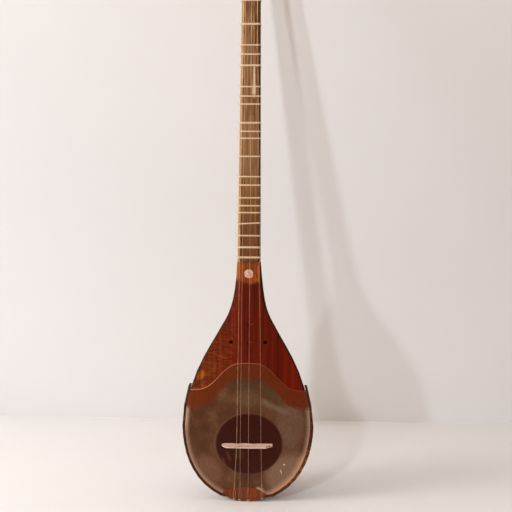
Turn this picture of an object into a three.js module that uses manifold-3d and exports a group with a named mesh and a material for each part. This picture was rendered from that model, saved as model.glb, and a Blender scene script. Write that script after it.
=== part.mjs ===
import * as THREE from 'three';
import { mergeVertices } from 'three/addons/utils/BufferGeometryUtils.js';
import Module from 'manifold-3d';

// A long-necked Persian lute: a pear-shaped bowl of staves, a wooden face whose lower half is
// covered with skin, four strings, and frets of gut tied round the neck.
// Lengths are in millimetres. X runs across the face, Y from front to back and Z up the neck.
// The front of the soundboard is the plane Y = 0 until the last lines move the whole instrument.

// Fits between pieces
const gap = 0.3;              // between faces that are glued or rest on each other
const turnClearance = 0.25;   // round a peg in its hole
const overrun = 2;            // how far a cutting shape passes through what it cuts

// Outline of the wooden face: the right half, from the tail end up to the neck
const tailEndHeight = 7.2;
const widestHeight = 96.5;
const bowlHalfWidth = 79.3;
const waistHalfWidth = 32.7;
const waistLeanShare = 0.51;               // width lost for each unit of height at the waist
const throatHeight = 79.7;                 // from the waist up to the joint with the neck
const jointHeight = 306.7;
const jointHalfWidth = 14.8;
const flankPullShares = [0.489, 0.233];    // curve handles, as shares of the flank's height
const throatPullShares = [0.075, 0.72];    // and of the throat's height
const tailSteps = 12;
const flankSteps = 7;
const throatSteps = 8;

// Bowl of staves
const bowlDepth = 116;
const depthFollowsWidthShare = 0.9;        // power that ties the depth to the width
const staveCount = 9;
const staveFacets = 2;
const staveThickness = 3.2;
const staveSeam = 0.3;
const plugHalfWidth = 14;                  // half the hole that the staves leave at the tail end
const plugTipHalfWidth = 5;

// Blocks inside the bowl
const tailBlockHalfWidth = 41;
const tailBlockTop = 38;
const heelBlockLength = 42;

// Face
const soundboardThickness = 2.6;
const bindingWidth = 1.5;
const openingHeight = 74;
const openingHalfWidth = 43;
const openingHalfHeight = 38.7;
const openingFacets = 40;
const soundHoleRadius = 2.25;
const soundHoleSpread = 21.8;
const soundHoleDrop = 23;                  // below the waist
const soundHoleFacets = 10;
const smallHoleRadius = 1.25;
const smallHoleDrops = [24, 0.5];
const smallHoleFacets = 8;
const inlayRadius = 5.75;
const inlayDrop = 15.3;                    // below the joint
const inlayFacets = 20;

// Skin over the lower face, and the band round its glued edge
const skinThickness = 0.5;
const skinFoldDepth = 7.5;                 // how far it is turned down over the side
const skinSideHeight = 143;
const skinBellRise = 34.6;
const bellSteps = 20;
const bandThickness = 2.6;
const bandDepth = 9;
const bandTopHeight = 149;

// Neck and head
const neckDepthAtJoint = 26.5;
const neckHalfWidthAtNut = 11.5;
const neckDepthAtNut = 20;
const headLength = 116;
const headHalfWidthAtTop = 10.4;
const headDepthAtTop = 18;
const headChamfer = 2.2;
const neckShoulder = 2.8;                  // rounding between the neck's front and its sides
const neckFacets = 14;
const fingerboardThickness = 2.3;

// Strings, the outer one on the left first
const stringRadii = [0.3, 0.2, 0.2, 0.2];
const bridgeHeight = 71;
const scaleLength = 636.5;
const actionAtNut = 2.2;
const stringNutShares = [-0.78, -0.6, 0.04, 0.7];
const stringBridgeShares = [-0.42, -0.27, 0.06, 0.52];
const stringTailShares = [-0.515, -0.221, 0.177, 0.862];
const stringSides = 6;
const nutThickness = 3.4;
const nutNotchDepth = 0.5;
const nutNotchWidth = 1.3;
const notchFloorShare = 0.5;               // of a notch's width, on the nut and on the bridge

// Bridge, carved by hand: its left end is cut to a point and its right end is stepped
const bridgeLength = 64.6;
const bridgeTall = 10.5;
const bridgeFootWidth = 7.2;
const bridgeCrestWidth = 1.4;
const bridgeNotchDepth = 0.5;
const bridgeNotchWidth = 1.6;
const bridgeStringGap = 0.4;
const bridgeWaistShare = 0.72;             // thickness half way up, of the mean of foot and crest
// Places along half its length, each with the height there and how far the foot reaches down
// and up the face, of half its width
const bridgeCarvingShares = [
  [-1, 0.5, -0.3, 0.62], [-0.94, 0.74, 0.35, 0.8], [-0.82, 1, 0.96, 0.9], [-0.62, 1, 1, 0.92],
  [-0.34, 1, 0.98, 0.8], [-0.1, 1, 1, 1.02], [0.25, 1, 0.98, 0.82], [0.4, 1, 0.98, 0.95],
  [0.77, 1, 0.95, 1], [0.8, 0.66, 0.7, 0.96], [0.9, 0.5, 0.5, 0.98], [1, 0.52, 0.2, 1],
];

// Tail: a plate on the face, and below it the holder whose pins carry the string loops
const tailShift = -2.8;                    // both sit a little to the left of the axis
const tailPlateHalfWidth = 27.75;
const tailPlateThickness = 1.5;
const tailPlateApex = 19;
const tailPlateTip = 1.6;
const tailArcSteps = 12;
const holderHalfWidth = 26;
const holderFlatHalf = 6;                  // half the flat that the instrument stands on
const holderTipShare = 0.97;               // where its rounded ends are cut off
const holderDepth = 15;
const pinRadius = 0.9;
const pinLength = 2.2;
const pinFacets = 10;
const loopHeight = 10;
const loopTailShare = 0.66;                // how far up the loop its twisted end reaches
const loopSteps = 8;

// Frets: gut tied round the neck, each placed by a share of the way from the joint to the nut
const gutRadius = 0.3;
const gutPitch = 1.05;
const gutSides = 4;
const fretBackPoints = 8;
const fretTurns = 3;
const thickFretTurns = 4;
const fretShares = [
  0.919, 0.876, 0.827, 0.752, 0.686, 0.657, 0.622, 0.555, 0.525, 0.5, 0.441, 0.414,
  0.392, 0.335, 0.271, 0.244, 0.204, 0.179, 0.157, 0.123, 0.084, 0.047, 0.015,
];
const thickFretShares = [0.827, 0.752, 0.622, 0.441, 0.047, 0.015];

// Pegs, in string order: two through the left side of the head and two through its front
const pegsOnSide = [true, true, false, false];
const pegHeightShares = [0.37, 0.79, 0.2, 0.6];    // up the head
const sidePegDepth = 7;
const frontPegOffsets = [0, 0, -2.6, 2.4];
const pegTipRadius = 3.1;
const pegShankRadius = 3.5;
const pegShankOut = 11;
const pegTipInset = 1;
const pegCollarRadius = 5.2;
const pegCollarWidth = 3;
const pegKnobRadius = 7.4;
const pegKnobLength = 16;
const pegButtonShare = 0.12;               // how far the rounded end stands past the knob
const pegKnobShares = [[0.42, 0.1], [0.8, 0.3], [1, 0.55], [0.86, 0.82], [0.4, 1]];
const pegFacets = 14;

// Windings of the strings on the pegs
const windingTurns = 4;
const windingGap = 0.5;
const windingStart = 8.6;                  // out from the head
const windingSteps = 12;
const windingSides = 5;

const waistHeight = jointHeight - throatHeight;
const soundHoleHeight = waistHeight - soundHoleDrop;
const smallHoleHeights = smallHoleDrops.map((drop) => waistHeight - drop);
const inlayHeight = jointHeight - inlayDrop;
const sideStart = soundboardThickness + gap;         // depth at which the staves begin
const skinFront = -gap - skinThickness;
const seatFront = skinFront - gap;                   // back of what rests on the skin
const tailPlateFront = seatFront - tailPlateThickness;
const fingerboardFront = -gap - fingerboardThickness;
const skinOuter = gap + skinThickness;               // outward from the wooden outline
const bandInner = skinOuter + gap;
const bandOuter = bandInner + bandThickness;
const nutHeight = bridgeHeight + scaleLength;
const nutFront = fingerboardFront - actionAtNut;
const headBottom = nutHeight + nutThickness;
const headTop = headBottom + headLength;
const bridgeCrest = seatFront - bridgeTall;

const colours = {
  redWood: 0x6e2610,
  neckWood: 0x8b6236,
  paleWood: 0xd8b896,
  edgeWood: 0x33120a,
  innerWood: 0xb98a5a,
  skin: 0x6a4a38,
  band: 0x3f200f,
  plate: 0x74341a,
  bone: 0xe8dcc4,
  pearl: 0xe6b8a0,
  steel: 0xb8b4ac,
  bronze: 0xb98a4a,
  gut: 0xe4bc8c,
};
const metals = ['steel', 'bronze'];
const materials = {};
for (const [name, color] of Object.entries(colours)) {
  const metal = metals.includes(name);
  materials[name] = new THREE.MeshStandardMaterial({
    name,
    color,
    roughness: metal ? 0.35 : 0.55,
    metalness: metal ? 1 : 0,
  });
}

const wasm = await Module();
wasm.setup();

const setar = new THREE.Group();

function addMesh(name, geometry, material, parent = setar) {
  const mesh = new THREE.Mesh(geometry, materials[material]);
  mesh.name = name;
  parent.add(mesh);
  return mesh;
}

// Joining and cutting

function toSolid(geometry) {
  const bare = geometry.clone();
  bare.deleteAttribute('normal');
  bare.deleteAttribute('uv');
  const merged = mergeVertices(bare);
  const triVerts = new Uint32Array(merged.index.array);
  const vertProperties = new Float32Array(merged.attributes.position.array);
  return new wasm.Manifold(new wasm.Mesh({ numProp: 3, vertProperties, triVerts }));
}

function toGeometry(solid) {
  const mesh = solid.getMesh();
  const geometry = new THREE.BufferGeometry();
  geometry.setAttribute('position', new THREE.BufferAttribute(mesh.vertProperties, mesh.numProp));
  geometry.setIndex(new THREE.BufferAttribute(mesh.triVerts, 1));
  geometry.computeVertexNormals();
  return geometry;
}

// Shapes that several pieces share

// Points of an ellipse, anticlockwise from the right
function ellipsePoints(halfWidth, halfHeight, count, x = 0, y = 0) {
  const points = [];
  for (let i = 0; i < count; i += 1) {
    const angle = 2 * Math.PI * i / count;
    points.push(new THREE.Vector2(x + halfWidth * Math.cos(angle), y + halfHeight * Math.sin(angle)));
  }
  return points;
}

// A flat shape drawn in X and Z, filled from its front to its back
function standingPlate(shape, front, back) {
  const geometry = new THREE.ExtrudeGeometry(shape, { depth: back - front, bevelEnabled: false });
  geometry.rotateX(Math.PI / 2);
  geometry.translate(0, back, 0);
  return geometry;
}

// A solid through rings of equal count, each anticlockwise as seen from the last ring
function loft(rings) {
  const count = rings[0].length;
  const points = rings.flat();
  const lastRing = points.length - count;
  const firstCentre = points.push(centreOf(rings[0])) - 1;
  const lastCentre = points.push(centreOf(rings.at(-1))) - 1;
  const faces = [];
  for (let i = 0; i < count; i += 1) {
    const next = (i + 1) % count;
    faces.push(firstCentre, next, i);
    faces.push(lastCentre, lastRing + i, lastRing + next);
    for (let start = 0; start < lastRing; start += count) {
      faces.push(start + i, start + next, start + next + count);
      faces.push(start + i, start + next + count, start + i + count);
    }
  }
  const geometry = new THREE.BufferGeometry().setFromPoints(points);
  geometry.setIndex(faces);
  geometry.computeVertexNormals();
  return geometry;
}

function centreOf(ring) {
  const sum = new THREE.Vector3();
  for (const point of ring) sum.add(point);
  return sum.divideScalar(ring.length);
}

// A path that passes exactly through its points, corners included
class Route extends THREE.Curve {
  constructor(points) {
    super();
    this.points = points;
  }

  getPointAt(share, target = new THREE.Vector3()) {
    return target.copy(this.points[this.indexAt(share)]);
  }

  getTangentAt(share, target = new THREE.Vector3()) {
    const index = this.indexAt(share);
    const here = this.points[index];
    const before = this.points[Math.max(index - 1, 0)];
    const after = this.points[Math.min(index + 1, this.points.length - 1)];
    const leaving = after.clone().sub(here).normalize();
    return target.copy(here).sub(before).normalize().add(leaving).normalize();
  }

  indexAt(share) {
    return Math.round(share * (this.points.length - 1));
  }
}

function tube(points, radius, sides) {
  const section = new THREE.Shape(ellipsePoints(radius, radius, sides));
  return new THREE.ExtrudeGeometry(section, {
    steps: points.length - 1,
    bevelEnabled: false,
    extrudePath: new Route(points),
  });
}

// The least gap between stretches of a wound tube that are half a turn or more apart
function leastGap(points, radius, turnPoints) {
  let least = Infinity;
  const apart = Math.ceil(turnPoints / 2);
  for (let i = 0; i < points.length; i += 1) {
    for (let j = i + apart; j < points.length; j += 1) {
      least = Math.min(least, points[i].distanceTo(points[j]) - 2 * radius);
    }
  }
  return least;
}

// Outline of the face

const waist = new THREE.Vector2(waistHalfWidth, waistHeight);
const waistDirection = new THREE.Vector2(-waistLeanShare, 1).normalize();
const flankHeight = waistHeight - widestHeight;
const tailCurve = new THREE.EllipseCurve(
  0, widestHeight, bowlHalfWidth, widestHeight - tailEndHeight, -Math.PI / 2, 0,
);
const flankCurve = new THREE.CubicBezierCurve(
  new THREE.Vector2(bowlHalfWidth, widestHeight),
  new THREE.Vector2(bowlHalfWidth, widestHeight + flankPullShares[0] * flankHeight),
  waist.clone().addScaledVector(waistDirection, -flankPullShares[1] * flankHeight),
  waist,
);
const throatCurve = new THREE.CubicBezierCurve(
  waist,
  waist.clone().addScaledVector(waistDirection, throatPullShares[0] * throatHeight),
  new THREE.Vector2(jointHalfWidth, jointHeight - throatPullShares[1] * throatHeight),
  new THREE.Vector2(jointHalfWidth, jointHeight),
);

// A station is a place on the outline with the direction in which the outline passes it
function stationOn(curve, share) {
  return { point: curve.getPoint(share), tangent: curve.getTangent(share) };
}

// The station of the round tail end at a given half width
function tailStation(halfWidth) {
  return stationOn(tailCurve, Math.asin(halfWidth / bowlHalfWidth) / (Math.PI / 2));
}

function outlineStations() {
  const stations = [];
  const stretches = [[tailCurve, tailSteps], [flankCurve, flankSteps], [throatCurve, throatSteps]];
  for (const [curve, steps] of stretches) {
    for (let i = 0; i < steps; i += 1) stations.push(stationOn(curve, i / steps));
  }
  stations.push(stationOn(throatCurve, 1));
  return stations;
}

const outline = outlineStations();

// The right half of the outline, moved outward by an offset and cut off at a height
function rimHalf(offset, height = Infinity) {
  const points = outline.map(({ point, tangent }) => (
    new THREE.Vector2(point.x + tangent.y * offset, point.y - tangent.x * offset)
  ));
  const above = points.findIndex((point) => point.y > height);
  if (above < 0) return points;
  const [low, high] = [points[above - 1], points[above]];
  const cut = low.clone().lerp(high, (height - low.y) / (high.y - low.y));
  return [...points.slice(0, above), cut];
}

// Both halves, from the top left down round the tail end and up to the top right
function rim(offset, height) {
  const right = rimHalf(offset, height);
  const left = right.slice(1).reverse().map((point) => new THREE.Vector2(-point.x, point.y));
  return [...left, ...right];
}

// A strip that runs round the face between two offsets from its outline
function rimStrip(inner, outer, height) {
  return new THREE.Shape([...rim(outer, height), ...rim(inner, height).reverse()]);
}

// Height of the band's outer edge under the tail end
function bandEdgeHeight(x) {
  const halfWidth = bowlHalfWidth + bandOuter;
  const halfHeight = widestHeight - tailEndHeight + bandOuter;
  return widestHeight - halfHeight * Math.sqrt(1 - (x / halfWidth) ** 2);
}

// Points across the instrument from one side to the other, on a height that depends on X
function arcAcross(halfWidth, heightAt, steps = tailArcSteps, centre = 0) {
  const points = [];
  for (let i = 0; i <= steps; i += 1) {
    const x = centre + halfWidth * (2 * i / steps - 1);
    points.push(new THREE.Vector2(x, heightAt(x)));
  }
  return points;
}

// Bowl

// A place on the bowl at a station, round from the right rim to the left one, under its surface
function bowlPoint({ point, tangent }, angle, sink = 0) {
  const depth = bowlDepth * (point.x / bowlHalfWidth) ** depthFollowsWidthShare;
  const deepening = depthFollowsWidthShare * depth / point.x * tangent.x;
  const [across, back] = [Math.cos(angle), Math.sin(angle)];
  const surface = new THREE.Vector3(point.x * across, sideStart + depth * back, point.y);
  const around = new THREE.Vector3(-point.x * back, depth * across, 0);
  const along = new THREE.Vector3(tangent.x * across, deepening * back, tangent.y);
  const outward = around.clone().cross(along).normalize();
  return surface.addScaledVector(outward, -sink);
}

// The angle that half a seam takes at a station
function seamAngle({ point }, angle) {
  const depth = bowlDepth * (point.x / bowlHalfWidth) ** depthFollowsWidthShare;
  return staveSeam / 2 / Math.hypot(point.x * Math.sin(angle), depth * Math.cos(angle));
}

function staveRing(station, index) {
  const share = Math.PI / staveCount;
  const right = index * share;
  const left = right + share;
  const start = index > 0 ? right + seamAngle(station, right) : right;
  const end = index < staveCount - 1 ? left - seamAngle(station, left) : left;
  const outer = [];
  const inner = [];
  for (let i = 0; i <= staveFacets; i += 1) {
    const angle = start + (end - start) * i / staveFacets;
    outer.push(bowlPoint(station, angle));
    inner.unshift(bowlPoint(station, angle, staveThickness));
  }
  return [...outer, ...inner];
}

function addStaves() {
  const plugEnd = tailStation(plugHalfWidth);
  const above = outline.filter(({ point }, i) => i > 0 && point.y > plugEnd.point.y + gap);
  const stations = [plugEnd, ...above];
  for (let index = 0; index < staveCount; index += 1) {
    const rings = stations.map((station) => staveRing(station, index));
    addMesh(`rib_${index + 1}`, loft(rings), 'redWood');
  }
}

function blockRing(station, sink) {
  const facets = staveCount * staveFacets;
  const ring = [];
  for (let i = 0; i <= facets; i += 1) ring.push(bowlPoint(station, Math.PI * i / facets, sink));
  return ring;
}

// The tail block fills the hole that the staves leave, and widens behind them
function addTailBlock() {
  const sink = staveThickness + gap;
  const neckOfPlug = tailStation(plugHalfWidth - gap);
  const wider = outline.filter(({ point }, i) => (
    i > 1 && i < tailSteps && point.x > plugHalfWidth && point.x < tailBlockHalfWidth
  ));
  const rings = [
    blockRing(tailStation(plugTipHalfWidth), 0),
    blockRing(neckOfPlug, 0),
    blockRing(neckOfPlug, sink),
    ...wider.map((station) => blockRing(station, sink)),
  ];
  rings.push(rings.at(-1).map((point) => point.clone().setZ(tailBlockTop)));
  addMesh('tail_block', loft(rings), 'innerWood');
}

// The heel block fills the top of the bowl, where the neck is glued to it
function addHeelBlock() {
  const sink = staveThickness + gap;
  const stations = outline.filter(({ point }) => point.y > jointHeight - heelBlockLength);
  addMesh('heel_block', loft(stations.map((station) => blockRing(station, sink))), 'innerWood');
}

// Face

function addSoundboard() {
  const shape = new THREE.Shape(rim(-bindingWidth - gap));
  const holes = [
    ellipsePoints(openingHalfWidth, openingHalfHeight, openingFacets, 0, openingHeight),
    ellipsePoints(inlayRadius + gap, inlayRadius + gap, inlayFacets, 0, inlayHeight),
  ];
  for (const x of [soundHoleSpread, -soundHoleSpread]) {
    holes.push(ellipsePoints(soundHoleRadius, soundHoleRadius, soundHoleFacets, x, soundHoleHeight));
  }
  for (const height of smallHoleHeights) {
    holes.push(ellipsePoints(smallHoleRadius, smallHoleRadius, smallHoleFacets, 0, height));
  }
  shape.holes = holes.map((points) => new THREE.Path(points));
  addMesh('soundboard', standingPlate(shape, 0, soundboardThickness), 'redWood');
}

function addInlay() {
  const disc = new THREE.Shape(ellipsePoints(inlayRadius, inlayRadius, inlayFacets, 0, inlayHeight));
  addMesh('inlay_disc', standingPlate(disc, 0, soundboardThickness), 'pearl');
}

function addBinding() {
  const strip = rimStrip(-bindingWidth, 0);
  addMesh('edge_binding', standingPlate(strip, 0, soundboardThickness), 'edgeWood');
}

// The skin's upper edge rises over the middle of the face in the shape of a bell
function bellEdge(halfWidth) {
  return arcAcross(halfWidth, (x) => (
    skinSideHeight + skinBellRise * (1 + Math.cos(Math.PI * x / halfWidth)) / 2
  ), bellSteps);
}

function addSkin() {
  const edge = rim(skinOuter, skinSideHeight);
  const bell = bellEdge(edge.at(-1).x).reverse();
  const sheet = standingPlate(new THREE.Shape([...edge, ...bell.slice(1, -1)]), skinFront, -gap);
  const fold = standingPlate(rimStrip(gap, skinOuter, skinSideHeight), skinFront, skinFoldDepth);
  addMesh('skin', toGeometry(toSolid(sheet).add(toSolid(fold))), 'skin');
}

function addBand() {
  const strip = rimStrip(bandInner, bandOuter, bandTopHeight);
  addMesh('rim_band', standingPlate(strip, skinFront, bandDepth), 'band');
}

// Tail

// Points of the tail plate and the holder, whose middle lies beside the axis
function tailArc(halfWidth, heightAt) {
  return arcAcross(halfWidth, heightAt, tailArcSteps, tailShift);
}

function addTailPlate() {
  const upper = tailArc(tailPlateHalfWidth, (x) => {
    const share = (x - tailShift) / tailPlateHalfWidth;
    const end = tailShift + Math.sign(share) * tailPlateHalfWidth;
    const tipTop = bandEdgeHeight(end) + tailPlateTip;
    return tailPlateApex - (tailPlateApex - tipTop) * share ** 2;
  });
  const lower = tailArc(tailPlateHalfWidth, bandEdgeHeight);
  const crescent = new THREE.Shape([...lower, ...upper.reverse()]);
  addMesh('tail_plate', standingPlate(crescent, tailPlateFront, seatFront), 'plate');
}

// The holder's edges: under the band, and parallel to it below, rounded off towards both ends
function holderTop(x) {
  return bandEdgeHeight(x) - gap;
}

function holderLow(x) {
  if (Math.abs(x) <= holderFlatHalf) return 0;
  const share = (x - tailShift) / holderHalfWidth;
  return holderTop(x) - holderTop(holderFlatHalf) * Math.sqrt(1 - Math.min(1, share ** 4));
}

function pinPlaces() {
  return stringTailShares.map((share) => {
    const x = tailShift + share * holderHalfWidth;
    return new THREE.Vector2(x, (holderLow(x) + holderTop(x)) / 2);
  });
}

// The holder stands under the tail end, and the flat of its underside is what carries it
function addStringHolder() {
  const half = holderHalfWidth * holderTipShare;
  const top = tailArc(half, holderTop).reverse();
  const low = tailArc(half, holderLow);
  const flat = [-holderFlatHalf, holderFlatHalf].map((x) => new THREE.Vector2(x, 0));
  const left = low.filter(({ x }) => x < -holderFlatHalf);
  const right = low.filter(({ x }) => x > holderFlatHalf);
  const block = new THREE.Shape([...left, ...flat, ...right, ...top]);
  let holder = toSolid(standingPlate(block, tailPlateFront, tailPlateFront + holderDepth));
  for (const { x, y } of pinPlaces()) {
    const pin = new THREE.Shape(ellipsePoints(pinRadius, pinRadius, pinFacets, x, y));
    const back = tailPlateFront + overrun;
    holder = holder.add(toSolid(standingPlate(pin, tailPlateFront - pinLength, back)));
  }
  addMesh('string_holder', toGeometry(holder), 'plate');
}

// Neck

function neckSize(height) {
  if (height < nutHeight) {
    const share = (height - jointHeight) / (nutHeight - jointHeight);
    return {
      halfWidth: THREE.MathUtils.lerp(jointHalfWidth, neckHalfWidthAtNut, share),
      depth: THREE.MathUtils.lerp(neckDepthAtJoint, neckDepthAtNut, share),
    };
  }
  const share = (height - nutHeight) / (headTop - nutHeight);
  return {
    halfWidth: THREE.MathUtils.lerp(neckHalfWidthAtNut, headHalfWidthAtTop, share),
    depth: THREE.MathUtils.lerp(neckDepthAtNut, headDepthAtTop, share),
  };
}

// A section of the neck: flat in front, rounded at the shoulders and half an ellipse behind
function neckRing(height, inset = 0) {
  const size = neckSize(height);
  const halfWidth = size.halfWidth - inset;
  const flat = halfWidth - neckShoulder;
  const corner = neckShoulder * Math.SQRT1_2;
  const shoulderDrop = sideStart - (sideStart - inset) * Math.SQRT1_2;
  const ring = [
    new THREE.Vector3(-flat, inset, height),
    new THREE.Vector3(flat, inset, height),
    new THREE.Vector3(flat + corner, shoulderDrop, height),
  ];
  for (let i = 0; i <= neckFacets; i += 1) {
    const angle = Math.PI * i / neckFacets;
    const back = sideStart + (size.depth - inset - sideStart) * Math.sin(angle);
    ring.push(new THREE.Vector3(halfWidth * Math.cos(angle), back, height));
  }
  ring.push(new THREE.Vector3(-flat - corner, shoulderDrop, height));
  return ring;
}

function addNeck() {
  const rings = [
    neckRing(jointHeight + gap),
    neckRing(nutHeight),
    neckRing(headTop - headChamfer),
    neckRing(headTop, headChamfer),
  ];
  let neck = toSolid(loft(rings));
  pegPlaces().forEach(({ place, inward, onSide }) => {
    const reach = inward + 2 * overrun;
    const drill = new THREE.CylinderGeometry(
      pegShankRadius + turnClearance, pegShankRadius + turnClearance, 2 * reach, pegFacets,
    );
    if (onSide) drill.rotateZ(Math.PI / 2);
    drill.translate(place.x, place.y, place.z);
    neck = neck.subtract(toSolid(drill));
  });
  addMesh('neck', toGeometry(neck), 'neckWood');
}

function addFingerboard() {
  const low = jointHeight + gap;
  const high = nutHeight - gap;
  const lowHalf = neckSize(low).halfWidth - neckShoulder;
  const highHalf = neckSize(high).halfWidth - neckShoulder;
  const shape = new THREE.Shape([
    new THREE.Vector2(-lowHalf, low),
    new THREE.Vector2(lowHalf, low),
    new THREE.Vector2(highHalf, high),
    new THREE.Vector2(-highHalf, high),
  ]);
  addMesh('fingerboard', standingPlate(shape, fingerboardFront, -gap), 'neckWood');
}

// The nut is drawn across the neck, with a notch for each string, and runs up the neck
function addNut() {
  const back = -gap;
  const half = nutNotchWidth / 2;
  const floor = half * notchFloorShare;
  const outlinePoints = [[neckHalfWidthAtNut, back], [-neckHalfWidthAtNut, back]];
  outlinePoints.push([-neckHalfWidthAtNut, nutFront]);
  for (const share of stringNutShares) {
    const x = share * neckHalfWidthAtNut;
    outlinePoints.push([x - half, nutFront], [x - floor, nutFront + nutNotchDepth]);
    outlinePoints.push([x + floor, nutFront + nutNotchDepth], [x + half, nutFront]);
  }
  outlinePoints.push([neckHalfWidthAtNut, nutFront]);
  const shape = new THREE.Shape(outlinePoints.map(([x, y]) => new THREE.Vector2(x, y)));
  const geometry = new THREE.ExtrudeGeometry(shape, { depth: nutThickness, bevelEnabled: false });
  const nut = addMesh('nut', geometry, 'bone');
  nut.position.z = nutHeight;
}

// Frets

// Once round the neck, clear of it, from the left side over the front and back behind it
function fretLoop(height) {
  const { halfWidth, depth } = neckSize(height);
  const reach = gap + gutRadius;
  const step = Math.PI / (fretBackPoints - 1);
  const spread = 1 / Math.cos(step / 2);
  const corner = halfWidth - neckShoulder + reach;
  const loop = [];
  for (let i = 0; i < fretBackPoints; i += 1) {
    const x = (halfWidth + reach) * spread * Math.cos(i * step);
    const y = sideStart + (depth - sideStart + reach) * spread * Math.sin(i * step);
    loop.push(new THREE.Vector2(x, y));
  }
  const front = fingerboardFront - reach;
  return [loop.pop(), new THREE.Vector2(-corner, front), new THREE.Vector2(corner, front), ...loop];
}

function fretRoute(height, turns) {
  const loop = fretLoop(height);
  const points = [];
  for (let i = 0; i <= turns * loop.length; i += 1) {
    const { x, y } = loop[i % loop.length];
    points.push(new THREE.Vector3(x, y, height + gutPitch * (i / loop.length - turns / 2)));
  }
  return points;
}

function addFrets() {
  let least = Infinity;
  fretShares.forEach((share, i) => {
    const turns = thickFretShares.includes(share) ? thickFretTurns : fretTurns;
    const points = fretRoute(THREE.MathUtils.lerp(jointHeight, nutHeight, share), turns);
    least = Math.min(least, leastGap(points, gutRadius, fretBackPoints + 2));
    addMesh(`fret_${String(i + 1).padStart(2, '0')}`, tube(points, gutRadius, gutSides), 'gut');
  });
  console.log(`least gap between the turns of a fret: ${least.toFixed(2)} mm`);
}

// Bridge

// The carving's height and foot shares at a place between the ones in its table
function carvingAt(x) {
  const share = 2 * x / bridgeLength;
  const after = bridgeCarvingShares.find(([along]) => along >= share) ?? bridgeCarvingShares.at(-1);
  const before = bridgeCarvingShares.findLast(([along]) => along <= share) ?? bridgeCarvingShares[0];
  const span = after[0] - before[0];
  const between = span > 0 ? (share - before[0]) / span : 0;
  return before.map((value, i) => THREE.MathUtils.lerp(value, after[i], between));
}

// A section of the bridge: narrow at the crest, hollowed at the waist and wide at the foot
function bridgeRing({ x, cut }) {
  const [, tallShare, downShare, upShare] = carvingAt(x);
  const foot = bridgeFootWidth / 2;
  const centre = (upShare - downShare) / 2 * foot;
  const halfFoot = (upShare + downShare) / 2 * foot;
  const crest = Math.min(bridgeCrestWidth / 2, halfFoot);
  const middle = Math.max(crest, (halfFoot + crest) / 2 * bridgeWaistShare);
  const top = seatFront - bridgeTall * tallShare + cut;
  const half = (top + seatFront) / 2;
  const section = [[top, crest], [half, middle], [seatFront, halfFoot]];
  const lower = section.map(([y, z]) => new THREE.Vector3(x, y, bridgeHeight + centre - z));
  const upper = section.map(([y, z]) => new THREE.Vector3(x, y, bridgeHeight + centre + z));
  return [...lower, ...upper.reverse()];
}

function addBridge() {
  const half = bridgeNotchWidth / 2;
  const floor = half * notchFloorShare;
  const strings = stringBridgeShares.map((share) => share * bridgeLength / 2);
  const places = bridgeCarvingShares
    .map(([along]) => ({ x: along * bridgeLength / 2, cut: 0 }))
    .filter(({ x }) => strings.every((string) => Math.abs(x - string) > bridgeNotchWidth));
  for (const x of strings) {
    places.push({ x: x - half, cut: 0 }, { x: x - floor, cut: bridgeNotchDepth });
    places.push({ x: x + floor, cut: bridgeNotchDepth }, { x: x + half, cut: 0 });
  }
  places.sort((a, b) => a.x - b.x);
  addMesh('bridge', loft(places.map(bridgeRing)), 'paleWood');
}

// Pegs and strings

// Where each peg leaves the head, how far it reaches into it, and its string's winding radius
function pegPlaces() {
  return stringRadii.map((radius, i) => {
    const z = headBottom + pegHeightShares[i] * headLength;
    const { halfWidth, depth } = neckSize(z);
    const onSide = pegsOnSide[i];
    const x = onSide ? -halfWidth : frontPegOffsets[i];
    const place = new THREE.Vector3(x, onSide ? sidePegDepth : 0, z);
    const inward = (onSide ? 2 * halfWidth : depth) - pegTipInset;
    return { place, inward, onSide, windingRadius: pegShankRadius + gap + radius };
  });
}

// A turned peg along Y, with the head's surface at zero and the knob outward
function pegGeometry(inward) {
  const collarEnd = pegShankOut + pegCollarWidth;
  const profile = [
    [0, -inward],
    [pegTipRadius, -inward],
    [pegShankRadius, 0],
    [pegShankRadius, pegShankOut],
    [pegCollarRadius, pegShankOut],
    [pegCollarRadius, collarEnd],
    ...pegKnobShares.map(([radius, along]) => [
      radius * pegKnobRadius, collarEnd + along * pegKnobLength,
    ]),
    [0, collarEnd + (1 + pegButtonShare) * pegKnobLength],
  ];
  return new THREE.LatheGeometry(profile.map(([x, y]) => new THREE.Vector2(x, y)), pegFacets);
}

// The string's turns on a peg along Y, laid from the outside towards the head
function windingRoute(windingRadius, radius, onSide) {
  const side = onSide ? -1 : 1;
  const pitch = 2 * radius + windingGap;
  const points = [];
  for (let i = 0; i <= windingTurns * windingSteps; i += 1) {
    const angle = 2 * Math.PI * i / windingSteps;
    points.push(new THREE.Vector3(
      side * windingRadius * Math.cos(angle),
      windingStart - pitch * i / windingSteps,
      -side * windingRadius * Math.sin(angle),
    ));
  }
  return points;
}

function addPegs() {
  pegPlaces().forEach(({ place, inward, onSide, windingRadius }, i) => {
    const group = new THREE.Group();
    group.position.copy(place);
    group.rotation.set(onSide ? 0 : Math.PI, 0, onSide ? Math.PI / 2 : 0);
    setar.add(group);
    addMesh(`peg_${i + 1}`, pegGeometry(inward), 'redWood', group);
    const points = windingRoute(windingRadius, stringRadii[i], onSide);
    const metal = i === 0 ? 'bronze' : 'steel';
    addMesh(`winding_${i + 1}`, tube(points, stringRadii[i], windingSides), metal, group);
    const least = leastGap(points, stringRadii[i], windingSteps);
    console.log(`least gap between the turns of winding ${i + 1}: ${least.toFixed(2)} mm`);
  });
}

// Where a string ends, just short of the turns on its peg
function stringEnd({ place, onSide, windingRadius }, radius) {
  const clear = windingRadius + 2 * radius + gap;
  const z = place.z - Math.sqrt(clear ** 2 - windingRadius ** 2);
  if (onSide) return new THREE.Vector3(place.x - windingStart, place.y - windingRadius, z);
  return new THREE.Vector3(place.x + windingRadius, place.y - windingStart, z);
}

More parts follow.
